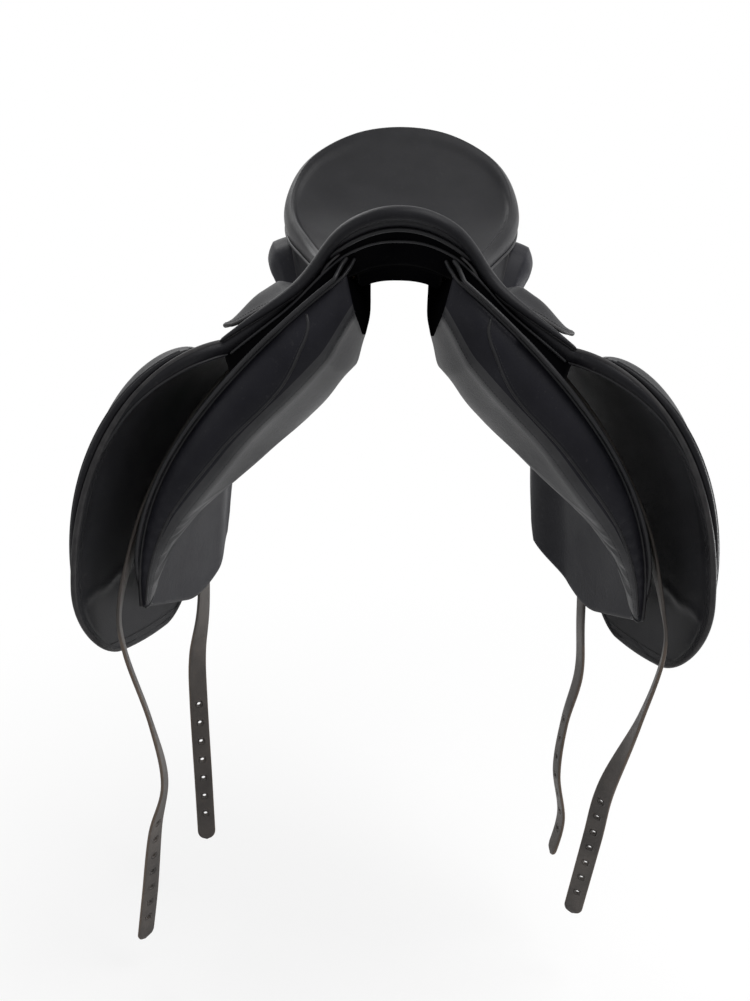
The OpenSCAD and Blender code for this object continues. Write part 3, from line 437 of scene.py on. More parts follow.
def drape_front_y(s):
    """Place of the drape's front edge: bowed forwards in the middle of its length."""
    s = clip01(s)
    return -22 * np.sin(np.pi * s ** 0.85) + 12 * s ** 4


def sweat_place(v, t):
    """Drape share s and place y of a sweat flap's point: v runs down, t from front to rear, with both lower corners
    rounded."""
    v, t = grids(v, t)
    s = mix(SWEAT_TOP, 1 - 0.12 * clip01((t - 0.5) / 0.5) ** 2, v)
    front, rear = [round_off(s, *corner) for corner in SWEAT_CORNERS]
    return s, mix(drape_front_y(s) + front, mix(*SWEAT_REAR_Y, smooth(s / 0.7)) - rear, t)


def sweat_surface(v, t, name):
    """Inner face of a sweat flap on the drape, its rear lobe swung out or in below the panel."""
    s, y = sweat_place(v, t)
    swing = SWEAT_SWING[name] * smooth((s - 0.45) / 0.35) * smooth((y - 205) / 70)
    return drape(s, y) + GAP * drape_n(s, y) + swing[..., None] * np.array([1.0, 0, 0])


# Panels

def panel_place(a, t):
    """Share s along the drape and place y of a panel's point: a across from the channel, t from front to rear."""
    s = a * mix(1, 0.32, smooth(t / 0.3))
    return s, mix(drape_front_y(s) + 6, REAR_Y, t)


def panel_rear(y):
    """Share of the rear form, where the panel lies under the seat's edge instead of under the sweat flap."""
    return smooth((y - 246) / 80)


def panel_base(a, t):
    """Upper face of a panel: just inside the drape at the front, under the seat's edge at the rear."""
    a, t = grids(a, t)
    s, y = panel_place(a, t)
    ex, ez = edge_of_seat(y)
    z0 = np.minimum(PANEL_TOP, seat_z(CHANNEL_W / 2, y) - STACK - 6)
    z1 = np.minimum(PANEL_TOP, ez - 2 * WELT_R - 2 * GAP - 2)
    rear = np.stack([mix(CHANNEL_W / 2, ex * 1.04 + 8, a), y,
                     mix(z0, z1, smooth(a)) - 9 * clip01((a - 0.7) / 0.3) ** 2], -1)
    return mix(drape(s, y) - 2 * GAP * drape_n(s, y), rear, panel_rear(y)[..., None])


def panel_depth(a, t):
    """Depth of the stuffing: full in the middle, drawn in along the edges and thin at the front tip."""
    s, y = panel_place(a, t)
    rising = lambda k, span: np.sin(np.pi / 2 * clip01(k / span))
    edge = (0.7 + 0.3 * rising(a, 0.14)) * (1 - mix(0.7, 0.45, panel_rear(y)) * (1 - rising(1 - a, 0.32) ** 0.65))
    ends = (mix(0.85, 1.26, smooth(t / 0.2)) * mix(1, 0.8, smooth((t - 0.35) / 0.3))
            * (0.42 + 0.58 * rising(1 - t, 0.12) ** 0.65))
    tip = mix(1, 0.38, smooth((s - 0.5) / 0.5)) * mix(1, 0.9, smooth((s - 0.25) / 0.3))
    return PANEL_T * edge * ends * mix(tip, 1, smooth((t - 0.1) / 0.25))


def panel_low(a, t):
    """Bearing face of a panel: the upper face moved by the depth, upright beside the channel and square to the drape
    farther down."""
    a, t = grids(a, t)
    s, y = panel_place(a, t)
    n = drape_n(s, y)
    way = unit(np.stack([n[..., 0] * mix(0.3, 1, smooth(s / 0.36)), n[..., 1], n[..., 2]], -1))
    way = unit(mix(way, UP, panel_rear(y)[..., None]))
    return panel_base(a, t) - panel_depth(a, t)[..., None] * way


# Billets

STRAP_OUT = -FLAP_T - 2 * GAP - BILLET_T / 2
HEAD_TURN, LIE_TURNS = -math.degrees(math.asin(COS_S * SIN_F)), [-8, -10, -12, -12]
# Where they lie on the sweat flap: share along the drape, place y and clearance
LIE = {"front": [(0.35, 74, 5), (0.5, 54, 8), (0.65, 36, 9), (0.8, 20, 9)],
       "rear": [(0.35, 172, 4), (0.5, 178, 7), (0.65, 184, 9), (0.8, 190, 10)]}
# The free part, from the lower corner of the sweat flap: x, y, z and the strap's turn in degrees
CORNER = {"front": np.array([SWEAT_REACH, 0, -SWEAT_DROP]),
          "rear": np.array([SWEAT_REACH_REAR, 0, -SWEAT_DROP - REAR_DROP])}
HANG = {
    "front_left": [(14, 5, 5, 5), (14, 10, -55, 15), (-6, 25, -150, 15), (-14, 45, -240, 0), (4, 60, -320, -25),
                   (20, 80, -425, -40), (34, 95, -510, -40)],
    "front_right": [(10, 5, 20, 5), (20, 10, -40, 15), (10, 40, -140, 10), (-10, 80, -255, -40),
                    (-15, 105, -345, -65), (-25, 135, -480, -70)],
    "rear_left": [(36, 195, 15, -25), (47, 200, -60, -50), (49, 205, -130, -65), (46, 205, -255, -75),
                  (44, 205, -345, -80)],
    "rear_right": [(38, 195, 10, -10), (43, 200, -70, -10), (31, 205, -145, -5), (26, 205, -220, -10),
                   (37, 205, -290, -10), (27, 205, -350, -10)]}
WORN_SHARE = {"front": 0.58, "rear": 0.46}


def billet_route(kind, name):
    """Route of a billet and its turn at each point: under the flap top, outside the sweat flap, then hanging free."""
    y = STRAP_Y[0 if kind == "front" else 1]
    head = [side_pt(y, STRAP_UP + up, STRAP_OUT + out) for up, out in ((14, 0), (0, 0), (-20, -1.5))]
    lie = [drape(s, y) + (GAP + SWEAT_T + BILLET_T / 2 + c) * drape_n(s, y) for s, y, c in LIE[kind]]
    hang = np.array(HANG[kind + "_" + name], float)
    turn = np.radians(np.concatenate([[HEAD_TURN] * len(head), LIE_TURNS, hang[:, 3]]))
    return np.concatenate([head, lie, hang[:, :3] + CORNER[kind]]), turn[:, None]


# Finishes

def feed(tree, node, inputs):
    """Links each input of a node to a socket, or sets its value."""
    for key, value in inputs.items():
        if isinstance(value, bpy.types.NodeSocket):
            tree.links.new(value, node.inputs[key])
        else:
            node.inputs[key].default_value = value


def put(tree, kind, inputs=None, **settings):
    """Adds a shader node with its settings and inputs."""
    node = tree.nodes.new("ShaderNode" + kind)
    for key, value in settings.items():
        setattr(node, key, value)
    feed(tree, node, inputs or {})
    return node


def maths(tree, operation, *values):
    """One Math node's result."""
    return put(tree, "Math", dict(enumerate(values)), operation=operation).outputs[0]


def vectors(tree, operation, a, b):
    """One Vector Math node's result."""
    return put(tree, "VectorMath", {0: a, 1: b}, operation=operation).outputs[0]


def noise(tree, where, scale, detail, **inputs):
    """Outputs of a Noise Texture."""
    return put(tree, "TexNoise", {"Vector": where, "Scale": scale, "Detail": detail, **inputs}).outputs


def ramp(tree, value, start=0.0, end=1.0, low=0.0, high=1.0, kind="LINEAR"):
    """A value mapped from start and end to low and high."""
    inputs = {"Value": value, "From Min": start, "From Max": end, "To Min": low, "To Max": high}
    return put(tree, "MapRange", inputs, interpolation_type=kind).outputs[0]


def bump(tree, height, strength, distance):
    """Normal with a relief."""
    return put(tree, "Bump", {"Strength": strength, "Distance": distance, "Height": height}).outputs[0]


def blended(tree, factor, a, b):
    """Colour mixed from a to b by the factor."""
    a, b = [c if isinstance(c, bpy.types.NodeSocket) else (*c, 1.0) for c in (a, b)]
    return put(tree, "Mix", {0: factor, 6: a, 7: b}, data_type="RGBA").outputs[2]


def new_group(name, inputs, outputs):
    """New shader node group with named number inputs, a Vector input and named number outputs."""
    tree = bpy.data.node_groups.new(name, "ShaderNodeTree")
    tree.interface.new_socket("Vector", in_out="INPUT", socket_type="NodeSocketVector")
    for key, value in inputs.items():
        tree.interface.new_socket(key, in_out="INPUT", socket_type="NodeSocketFloat").default_value = value
    for key in outputs:
        tree.interface.new_socket(key, in_out="OUTPUT", socket_type="NodeSocketFloat")
    return tree, tree.nodes.new("NodeGroupInput").outputs, tree.nodes.new("NodeGroupOutput")


def leather_grain_group():
    """Grain of hide: rounded cells whose places are pushed about by noise, with fine pores between them. Height is the
    relief, Tone a slow change of shade over the hide."""
    tree, i, out = new_group("leather_grain", {"Scale": 900.0}, ["Height", "Tone"])
    push = vectors(tree, "MULTIPLY", noise(tree, i["Vector"], 130.0, 2.0)["Color"], (0.004, 0.004, 0.004))
    moved = vectors(tree, "ADD", i["Vector"], push)
    cells = put(tree, "TexVoronoi", {"Vector": moved, "Scale": i["Scale"]}).outputs["Distance"]
    pores = noise(tree, i["Vector"], maths(tree, "MULTIPLY", i["Scale"], 2.5), 3.0)["Fac"]
    feed(tree, out, {"Height": maths(tree, "SUBTRACT", maths(tree, "MULTIPLY", pores, 0.6), cells),
                     "Tone": noise(tree, i["Vector"], 22.0, 4.0)["Fac"]})
    return tree


def handling_group():
    """Marks of handling: broad patches, polished in some places and dull in others, with short faint scuffs."""
    tree, i, out = new_group("handling", {"Scale": 9.0}, ["Patches", "Scuffs"])
    fine = noise(tree, vectors(tree, "MULTIPLY", i["Vector"], (1.0, 0.22, 1.0)), 210.0, 4.0)["Fac"]
    feed(tree, out, {"Patches": noise(tree, i["Vector"], i["Scale"], 3.0)["Fac"],
                     "Scuffs": ramp(tree, fine, 0.62, 0.78)})
    return tree


def edge_rub_group():
    """Wear on edges: the piece's own edge value, broken up by noise."""
    tree, i, out = new_group("edge_rub", {"Rub": 0.0}, ["Mask"])
    value = maths(tree, "MULTIPLY_ADD", noise(tree, i["Vector"], 95.0, 3.0)["Fac"], 0.7, -0.35)
    feed(tree, out, {"Mask": ramp(tree, maths(tree, "ADD", value, i["Rub"]), 0.55, 1.15)})
    return tree


def wrinkle_group():
    """Fine wrinkles of soft hide: thin lines where a slow noise crosses its middle value."""
    tree, i, out = new_group("wrinkles", {"Scale": 60.0}, ["Height"])
    wave = noise(tree, i["Vector"], i["Scale"], 2.0, Distortion=0.6)["Fac"]
    feed(tree, out, {"Height": ramp(tree, maths(tree, "ABSOLUTE", maths(tree, "SUBTRACT", wave, 0.5)), 0.0, 0.06)})
    return tree


GRAIN, HANDLING, EDGE_RUB, WRINKLES = leather_grain_group(), handling_group(), edge_rub_group(), wrinkle_group()


def blank(name):
    """New material with its node tree, its Principled shader and the Object coordinates."""
    material = bpy.data.materials.new(name)
    material.use_nodes = True
    tree = material.node_tree
    return material, tree, tree.nodes["Principled BSDF"], put(tree, "TexCoord").outputs["Object"]


def use_group(tree, group, where, **inputs):
    """Outputs of a node group placed in a material with its own values."""
    return put(tree, "Group", {"Vector": where, **inputs}, node_tree=group).outputs


def hide(name, dark, light, worn, rough, grain, relief, wrinkle, specular):
    """Leather: a dark colour with lighter patches, worn edges, grain and fine wrinkles, duller where it is handled
    less."""
    material, tree, shader, where = blank(name)
    skin = use_group(tree, GRAIN, where, Scale=grain)
    touch = use_group(tree, HANDLING, where, Scale=9.0)
    rub = put(tree, "Attribute", attribute_name="rub").outputs["Fac"]
    edge = use_group(tree, EDGE_RUB, where, Rub=rub)["Mask"]
    base = blended(tree, ramp(tree, skin["Tone"], 0.35, 0.75), dark, light)
    base = blended(tree, maths(tree, "MULTIPLY", touch["Scuffs"], 0.25), base, worn)
    base = blended(tree, maths(tree, "MULTIPLY", edge, 0.75), base, worn)
    dull = ramp(tree, touch["Patches"], 0.3, 0.7, rough - 0.07, rough + 0.08)
    height = skin["Height"]
    if wrinkle:
        lines = use_group(tree, WRINKLES, where, Scale=70.0)["Height"]
        height = maths(tree, "ADD", height, maths(tree, "MULTIPLY", lines, wrinkle))
    feed(tree, shader, {"Base Color": base, "Specular IOR Level": specular,
                        "Roughness": maths(tree, "ADD", dull, maths(tree, "MULTIPLY", edge, 0.08)),
                        "Normal": bump(tree, height, relief, 0.0004)})
    return material


def steel_finish():
    """Plain steel: duller in patches, with fine scuffs."""
    material, tree, shader, where = blank("plain_steel")
    touch = use_group(tree, HANDLING, where, Scale=60.0)
    feed(tree, shader, {"Base Color": blended(tree, touch["Patches"], (0.42, 0.42, 0.43), (0.62, 0.62, 0.63)),
                        "Roughness": ramp(tree, touch["Patches"], low=0.2, high=0.42),
                        "Normal": bump(tree, touch["Scuffs"], 0.1, 0.0002), "Metallic": 1.0})
    return material


def wood_finish():
    """Laminated beech under dark varnish: bands of light and dark along the seat with a fine grain."""
    material, tree, shader, where = blank("beech_laminate")
    fibre = noise(tree, vectors(tree, "MULTIPLY", where, (6.0, 0.7, 9.0)), 60.0, 5.0)["Fac"]
    feed(tree, shader, {"Base Color": blended(tree, fibre, (0.05, 0.032, 0.02), (0.1, 0.066, 0.042)),
                        "Roughness": ramp(tree, fibre, low=0.45, high=0.65)})
    return material


def woven_finish(name, dark, light, scale):
    """Woven or open stuff: two crossing waves give the threads."""
    material, tree, shader, where = blank(name)
    waves = [put(tree, "TexWave", {"Vector": where, "Scale": scale, "Distortion": 0.4}, bands_direction=way)
             for way in "XY"]
    thread = maths(tree, "MULTIPLY", *[wave.outputs["Fac"] for wave in waves])
    feed(tree, shader, {"Base Color": blended(tree, thread, dark, light), "Roughness": 0.85,
                        "Normal": bump(tree, thread, 0.4, 0.0005)})
    return material


# Dark, light and worn colour, then roughness, grain cells to the metre, relief, wrinkles and specular level
HIDES = {
    "seat_calf": ((0.0095, 0.0095, 0.0112), (0.0152, 0.0152, 0.0172), (0.036, 0.036, 0.037), 0.38, 1000, 0.22, 0, 0.15),
    "flap_hide": ((0.0088, 0.0088, 0.0105), (0.0145, 0.0145, 0.017), (0.06, 0.058, 0.059), 0.42, 800, 0.3, 0, 0.11),
    "panel_calf": ((0.009, 0.009, 0.0125), (0.015, 0.015, 0.0195), (0.055, 0.054, 0.056), 0.44, 1000, 0.3, 0.5, 0.11),
    # Lighter copy of the panel calf: painted light on the bearing faces, which face the light from below
    "bearing_calf_painted_light": ((0.027, 0.027, 0.0295), (0.046, 0.046, 0.049), (0.065, 0.064, 0.066), 0.4, 1000, 0.3, 0.5, 0.2),
    # Near-black lining with no specular: painted shade for the unlit underside of the arch, the channel and the panels'
    # inner walls
    "lining_painted_shade": ((0.002, 0.002, 0.0025), (0.0035, 0.0035, 0.004), (0.01, 0.01, 0.01), 0.75, 1200, 0.25, 0, 0.0),
    "piping_calf": ((0.0125, 0.0125, 0.014), (0.021, 0.021, 0.0235), (0.075, 0.072, 0.072), 0.36, 1200, 0.15, 0, 0.2),
    "strap_hide": ((0.047, 0.042, 0.039), (0.085, 0.074, 0.067), (0.14, 0.1, 0.073), 0.5, 700, 0.35, 0.6, 0.25),
    "waxed_thread": ((0.018, 0.018, 0.019), (0.036, 0.036, 0.038), (0.05, 0.05, 0.05), 0.55, 3000, 0.2, 0, 0.18)}
(SEAT_HIDE, FLAP_HIDE, PANEL_HIDE, BEARING_PAINTED_LIGHT_HIDE, PAINTED_SHADE_HIDE, PIPING_HIDE, STRAP_HIDE,
 THREAD) = [hide(name, *facts) for name, facts in HIDES.items()]
STEEL, WOOD = steel_finish(), wood_finish()
FOAM = woven_finish("open_foam", (0.5, 0.46, 0.36), (0.72, 0.68, 0.56), 420.0)
WEB = woven_finish("woven_web", (0.012, 0.012, 0.012), (0.04, 0.04, 0.042), 160.0)


# Pieces

PIPING_STEP = 4.0
HEAD_PIPE_R, BAND_PIPE_R, THIGH_PIPE_R, SWEAT_PIPE_R = 1.5, 1.5, 1.3, 2.3
PANEL_TOP_PIPE_R, PANEL_SEAM_PIPE_R, PANEL_OUTER_PIPE_R = 1.9, 1.6, 1.5
FLAP_BOUND_W, SWEAT_BOUND_W = 10, 9


def piping(name, path, up, radius, body="saddle", slot="black_leather", side=1, closed=False, replaces=()):
    """Round piping: a cord along a path, with closer points where its open ends round off."""
    up = np.broadcast_to(up, path.shape)
    if not closed:
        d = run_length(path)
        ends = np.array([0, 0.1, 0.35, 0.7, 1.0]) * radius
        middle = np.linspace(2 * radius, d[-1] - 2 * radius, max(6, int(d[-1] / PIPING_STEP)))
        at = np.concatenate([ends, middle, d[-1] - ends[::-1]])
        path, up = sample(at, d, path), sample(at, d, up)
    v, q = tube(path, up, radius, closed=closed)
    make_piece(name, v, q, PIPING_HIDE, body, side, replaces, rub=np.full(v.shape[:2], 0.45))


def stitching(name, rows, body="saddle", side=1, slot="black_leather"):
    """Rows of stitches, each given by a path and its up directions."""
    v, q = join([stitch_row(path, up) for path, up in rows])
    make_piece(name, v, q, THREAD, body, side)


def sheet_piece(name, g, thick, material, body="saddle", side=1, replaces=(), slot="black_leather", inside=None,
                **additions):
    """Leather sheet with a rounded rim, and another finish on its inside if one is given."""
    v, q, rub = sheet_solid(g, thick, **additions)
    faces = (g.shape[0] - 1) * (g.shape[1] - 1)
    kind = np.zeros(len(q))
    kind[faces:2 * faces] = 1
    make_piece(name, v, q, material, body, side, replaces, rub=rub, more=([inside], kind) if inside else None)


def edge_line(surface, d, lift, down, around=True, n=160):
    """Line on a sheet at the distance d inside its edges: down the front and, when it goes around, along the low edge
    and up the rear. lift is its height above the face (negative goes through to the other face)."""
    s, t = np.linspace(*down, n), np.linspace(0, 1, n)
    width = steps(surface(s[:, None], np.linspace(0, 1, 20)[None]), 1).sum(1)
    reach = steps(surface(np.linspace(*down, 40)[:, None], t[None])).sum(0)
    share = d / np.maximum(width, 1)
    stop = down[1] - (down[1] - down[0]) * d / reach
    legs = [(np.minimum(s, stop[0]), share)]
    if around:
        inside = (t > share[-1]) & (t < 1 - share[-1])
        legs += [(stop[inside], t[inside]), (np.minimum(s, stop[-1])[::-1], 1 - share[::-1])]
    s, t = [np.concatenate(leg) for leg in zip(*legs)]
    e = 0.004
    p = surface(s, t)
    normal = unit(np.cross(surface(np.minimum(s + e, down[1]), t) - surface(np.maximum(s - e, down[0]), t),
                           surface(s, np.minimum(t + e, 1)) - surface(s, np.maximum(t - e, 0))))
    keep = np.append(True, steps(p) > 0.05)
    p, normal = p[keep], normal[keep]
    return p + lift * normal, normal * np.sign(lift or 1)


def seat_pieces():
    """Seat leather, its padding, and the piping under the rolled edge. A soft ridge runs a thumb's width inside the
    edge, where the leather is drawn over the seat's rim."""
    u = np.arange(SEAT_N) / SEAT_N
    q = np.concatenate([np.linspace(0.025, 0.86, 34), np.linspace(0.87, RIM_Q, 13)])
    ridge = RIDGE_H * smooth((outline(u)[:, 1] - 40) / 80)[:, None] * UP
    rings = [seat_surface(u, k, 0) + ridge * math.exp(-((k - RIDGE_Q) / RIDGE_W) ** 2) for k in q]
    rings += [seat_surface(u, *place) for place in spline(ROLL, np.linspace(0, 1, 22))[1:]]
    outer = np.array(rings)
    wrapped = np.concatenate([outer[:, -1:], outer, outer[:, :1]], 1)
    v = np.concatenate([outer, (outer - COVER_T * grid_normals(wrapped)[:, 1:-1])[::-1]])
    rub = np.zeros(v.shape[:2])
    rub[len(q) - 2:len(outer)] = 0.2
    make_piece("seat_leather", v, capped(len(v), SEAT_N), SEAT_HIDE, replaces=("seat_cover",),
               rub=rub)
    foot = seat_surface(u, FOOT_Q, 1) - [0, 0, GAP + WELT_R]

    n = 120
    u = np.arange(n) / n
    top, low = COVER_T + GAP, COVER_T + GAP + FOAM_T
    levels = [(k, top) for k in np.linspace(0.03, 0.86, 16)]
    levels += [(0.9, top + 1.5), (0.915, top + 5), (0.915, low - 5), (0.9, low - 1.2)]
    levels += [(k, low) for k in np.linspace(0.86, 0.03, 10)]
    v = np.array([seat_surface(u, k, 0) - [0, 0, d] for k, d in levels])
    pad = make_piece("seat_padding", v, capped(len(v), n), FOAM, replaces=("seat_foam",))
    piping("seat_piping_low", foot, UP, WELT_R, closed=True, replaces=("seat_welt",))


def panel_top_under(x, y):
    """Height of the panels' upper face under points x, y: the mean of the nearest worked-out points, by distance."""
    g = panel_base(np.linspace(0, 1, 90)[:, None], np.linspace(0, 1, 220)[None]).reshape(-1, 3)
    d = (np.abs(x)[:, None] - g[None, :, 0]) ** 2 + (y[:, None] - g[None, :, 1]) ** 2
    near = np.argsort(d, 1)[:, :5]
    w = 1 / (np.take_along_axis(d, near, 1) + 0.3)
    return (g[near, 2] * w).sum(1) / w.sum(1)


def back_leather():
    """Leather that closes the back and the rear of the sides: from under the low piping straight down to the panels,
    a little hollow."""
    n, reach, hollow = 150, 0.285, 5
    u = np.linspace(0.5 - reach, 0.5 + reach, n)
    top = seat_surface(u, 0.97, 1) - [0, 0, GAP + WELT_R + 1.0]
    low = seat_surface(u, 0.945, 1)
    low[:, 2] = np.minimum(panel_top_under(low[:, 0], low[:, 1]) + 0.6, top[:, 2] - 3)
    h = np.linspace(0, 1, 24)[:, None, None]
    w = unit(np.concatenate([outline(u) - SEAT_C, np.zeros((n, 1))], 1))
    # Its inside takes the near-black painted shade finish
    sheet_piece("back_leather", mix(top, low, h) - hollow * np.sin(np.pi * h) * w, COVER_T, FLAP_HIDE,
                replaces=("cantle_facing",), inside=PAINTED_SHADE_HIDE)


ARCH_OUT = -FLAP_T - GAP - PLATE_T
ARCH_APEX = (BEND_X + ARCH_OUT * SIN_S) / COS_S * SIN_S + ARCH_OUT * COS_S
ARCH_TOP = seat_mid(66.0) - STACK - 8 * GAP + BEND_Z + 36 * SIN_F - PLATE_T
ARCH_R = (ARCH_APEX - ARCH_TOP) / (1 / COS_S - 1)
ARCH_Z = ARCH_APEX - ARCH_R / COS_S
# Lines from the middle of the head out to the right: the roll over it, and the foot of the leather under the roll
HEAD_ROLL = [(0, -2, -0.5), (18, -1.5, -2.2), (35, 0, -7.6), (50, 4, -15.5), (61, 9, -25), (71, 13.5, -37),
             (80, 15, -50), (91, 13, -64), (105, 8, -77), (124, 2, -90.5), (147, -2, -106), (163, -4, -117),
             (174, -5, -125)]
FACING_FOOT = [(0, 42, -50.8), (24, 40, -53.5), (43, 29, -60), (58, 12, -66.5), (84, 0.5, -85), (108, -6, -106),
               (129, -9.5, -126), (147, -11.5, -144), (162, -12, -159)]
HEAD_N, FACING_SEAM = 181, 10


def arch_line(y, half, n):
    """Line of the head arch's lining at a place y: an arc on the arch radius, out to the half angle on both sides."""
    r = ARCH_R - GAP - LINING_T
    a = half * np.linspace(-1, 1, n)
    return from_side(np.stack([r * np.sin(a), np.full(n, float(y)), ARCH_Z + r * np.cos(a)], 1))


def both_ways(half):
    """Smooth line through points given from the middle out, on both sides."""
    return spline([(-x, y, z) for x, y, z in half[:0:-1]] + half, np.linspace(0, 1, HEAD_N))


def head_pieces():
    """Front of the head: a flat roll that runs from flap to flap over the head, the facing that closes the front
    under it down to the panels, the lining of the arch, and the lining of the channel behind it. Facing and linings
    take the near-black painted shade, and the facing's outer parts are a dark sheet set where shade falls."""
    roll = both_ways(HEAD_ROLL)
    dx, _, dz = np.gradient(roll, axis=0).T
    up = unit(np.stack([-dz, -9.0 * np.abs(dx) / 14, dx], 1))
    k = np.abs(np.linspace(-1, 1, HEAD_N))
    swell = mix(6.0, 1.6, smooth((k - 0.55) / 0.45))
    v, q = tube(roll, up, swell, sides=16, wide=1.35)
    make_piece("head_roll", v, q, FLAP_HIDE, rub=np.full(v.shape[:2], 0.3))
    under = roll - (swell + 1.2)[:, None] * up + 1.5 * AHEAD
    piping("head_roll_piping", under[20:-20], up[20:-20], HEAD_PIPE_R)

    h = np.linspace(0, 1, 24)[:, None, None]
    sag = clip01(1 - k / 0.55)[None, :, None]
    hollow = smooth((k - 0.4) / 0.3)[None, :, None]
    g = (mix(roll + [0, 2.5, -1.5], both_ways(FACING_FOOT), h)
         - np.sin(np.pi * h) * (mix(-2.0, 3.0, hollow) * AHEAD + 4.0 * sag * UP))
    # Facing and arch lining in the near-black finish: painted shade under the roll and in the arch
    sheet_piece("head_facing", g, LINING_T, PAINTED_SHADE_HIDE)
    lined = np.array([arch_line(y, math.radians(34), 80) for y in np.linspace(38, 84, 16)])
    sheet_piece("head_lining", lined, LINING_T, PAINTED_SHADE_HIDE, replaces=("pommel_lining",))
    piping("head_piping", (g[FACING_SEAM] + [0, -0.6, -0.4])[4:-4], UP, HEAD_PIPE_R)

    half, start, end = 44, 86, 434
    y, x = np.linspace(start, end, 90)[:, None], np.linspace(-half, half, 33)[None]
    z = (np.minimum(seat_z(x, y) - STACK - 1.0 - 6 * (1 - smooth((y - start) / 60)), -36.0)
         - 6 * (np.abs(x) / half) ** 3 * smooth((y - start) / 40))
    # Channel lining in the near-black finish: painted shade along the channel
    sheet_piece("channel_lining", np.stack(np.broadcast_arrays(x, y, z), -1), CHANNEL_LINING_T, PAINTED_SHADE_HIDE,
                slot="panel_leather")


# Depth of the band on the flap's front edge, by the share of the flap's drop (below 0 on its top)
BAND_AT, BAND_DEPTH = [-0.7, -0.35, -0.1, 0.08, 0.2, 0.35, 0.5], [7.0, 11.5, 15.0, 16.0, 14.0, 9.0, 5.4]


def flap_pieces(name, side):
    """One side's flap with its sloping top in one leather that bends along the bend line, its bound edge, the end of
    its lining above the lower lip, the band on its front edge and its stitching."""
    body = "flap_" + name
    bend = ("saddle", body, (BEND_X - 10, 100, -BEND_Z), (BEND_X + 10, 100, -BEND_Z))
    s = np.concatenate([np.linspace(-1, -0.02, 34), np.linspace(0, 0.7, 60),
                        0.7 + 0.3 * np.sin(np.linspace(0, np.pi / 2, 48))[1:]])[:, None]
    t = np.linspace(0, 1, 84)[None]
    g = flap_surface(s, t)
    inside = edge_distance(g)
    bound = (1 - smooth((inside - FLAP_BOUND_W) / 1.6)) * smooth((s - 0.02) / 0.08)
    past_lining = s - (0.87 - 0.08 * smooth(t / 0.6) + 0.003 * np.sin(40 * t))
    lined = 0.8 * (1 - smooth(past_lining / 0.012)) * smooth((s - 0.45) / 0.3)
    lined = (lined + 1.1 * np.exp(-(past_lining / 0.011) ** 2)) * smooth((inside - 12) / 3)
    sheet_piece("flap_leather_" + name, g, FLAP_T, FLAP_HIDE, bend, side, (body, "flap_top_" + name),
                outer_add=0.35 * bound, inner_add=0.7 * bound + lined)

    span = (BAND_AT[0], BAND_AT[-1])
    edge, out = edge_line(flap_surface, 0.0, 0.001, span, around=False)
    deep = np.interp(np.linspace(*span, len(edge)), BAND_AT, BAND_DEPTH)[:, None, None]
    h = np.linspace(1, 0, 14)[None, :, None]
    band = edge[:, None] + (0.2 - deep * h) * out[:, None] - AHEAD * (2.5 * h - 0.34 * deep * np.sin(np.pi * h))
    sheet_piece("flap_band_" + name, band, BAND_T, FLAP_HIDE, bend, side)
    piping("flap_band_piping_" + name, band[:, 0] + 0.5 * AHEAD, out, BAND_PIPE_R, bend, side=side)
    rows = ((3.0, -FLAP_T - 0.72), (8.6, -FLAP_T - 0.72), (4.0, 0.3))
    stitching("flap_stitches_" + name, [edge_line(flap_surface, d, lift, (0.04, 1.0)) for d, lift in rows], body, side)


def thigh_pieces(name, side):
    """One side's thigh block on the outside of the flap: a crowned pad with rounded walls, piped round its crown."""
    body = "flap_" + name
    m, n = 72, 34
    u, v = np.linspace(0, 1, m)[:, None], np.linspace(0, 1, n)[None]
    start = 0.07 * (1 - np.sin(np.pi * u).clip(0) ** 0.4)
    base = flap_surface(0.125 + 0.75 * u, start + v * (1 / 3 - 2 * start))
    swell = np.sin(np.pi * u ** 0.75).clip(0) ** 0.8 * (0.2 + 0.8 * np.sin(np.pi * v).clip(0) ** 1.5)
    height = GAP + BLOCK_EDGE_T + (BLOCK_T - BLOCK_EDGE_T) * swell
    verts, quads, _ = sheet_solid(base, -GAP, rim=7, outer_add=height, reach=4.0)
    crown = verts[:m * n]
    rub = np.zeros(len(verts))
    rub[:m * n] = np.exp(-edge_distance(crown.reshape(m, n, 3)) / 5).ravel() * 0.5
    block = make_piece("thigh_pad_" + name, verts, quads, FLAP_HIDE, body, side=side,
                       replaces=("thigh_block_" + name,), rub=rub)
    rim = rim_loop(m, n)
    rim = np.append(rim, rim[0])[2:-2]
    out = grid_normals(base).reshape(-1, 3)[rim]
    piping("thigh_piping_" + name, crown[rim] + 0.2 * out, out, THIGH_PIPE_R, body, side=side)


def skirt_pieces(name, side):
    """One side's skirt with its sewn top in one leather that bends where it leaves the sewing, and its stitching."""
    body = "skirt_" + name
    bend = ("saddle", body, side_pt(88, SKIRT_HINGE + 5, 3), side_pt(88, SKIRT_HINGE - 5, 3))
    u = np.concatenate([np.linspace(-1, -0.02, 26), np.linspace(0, 0.6, 34), np.linspace(0.62, 1, 40)])
    g = skirt_surface(u[:, None], np.linspace(0, 1, 64)[None])
    sheet_piece("skirt_leather_" + name, g, SKIRT_T, FLAP_HIDE, bend, side, (body, "skirt_top_" + name))
    stitching("skirt_stitches_" + name, [edge_line(skirt_surface, 4.5, 0.05, (0.1, 1.0))], body, side)


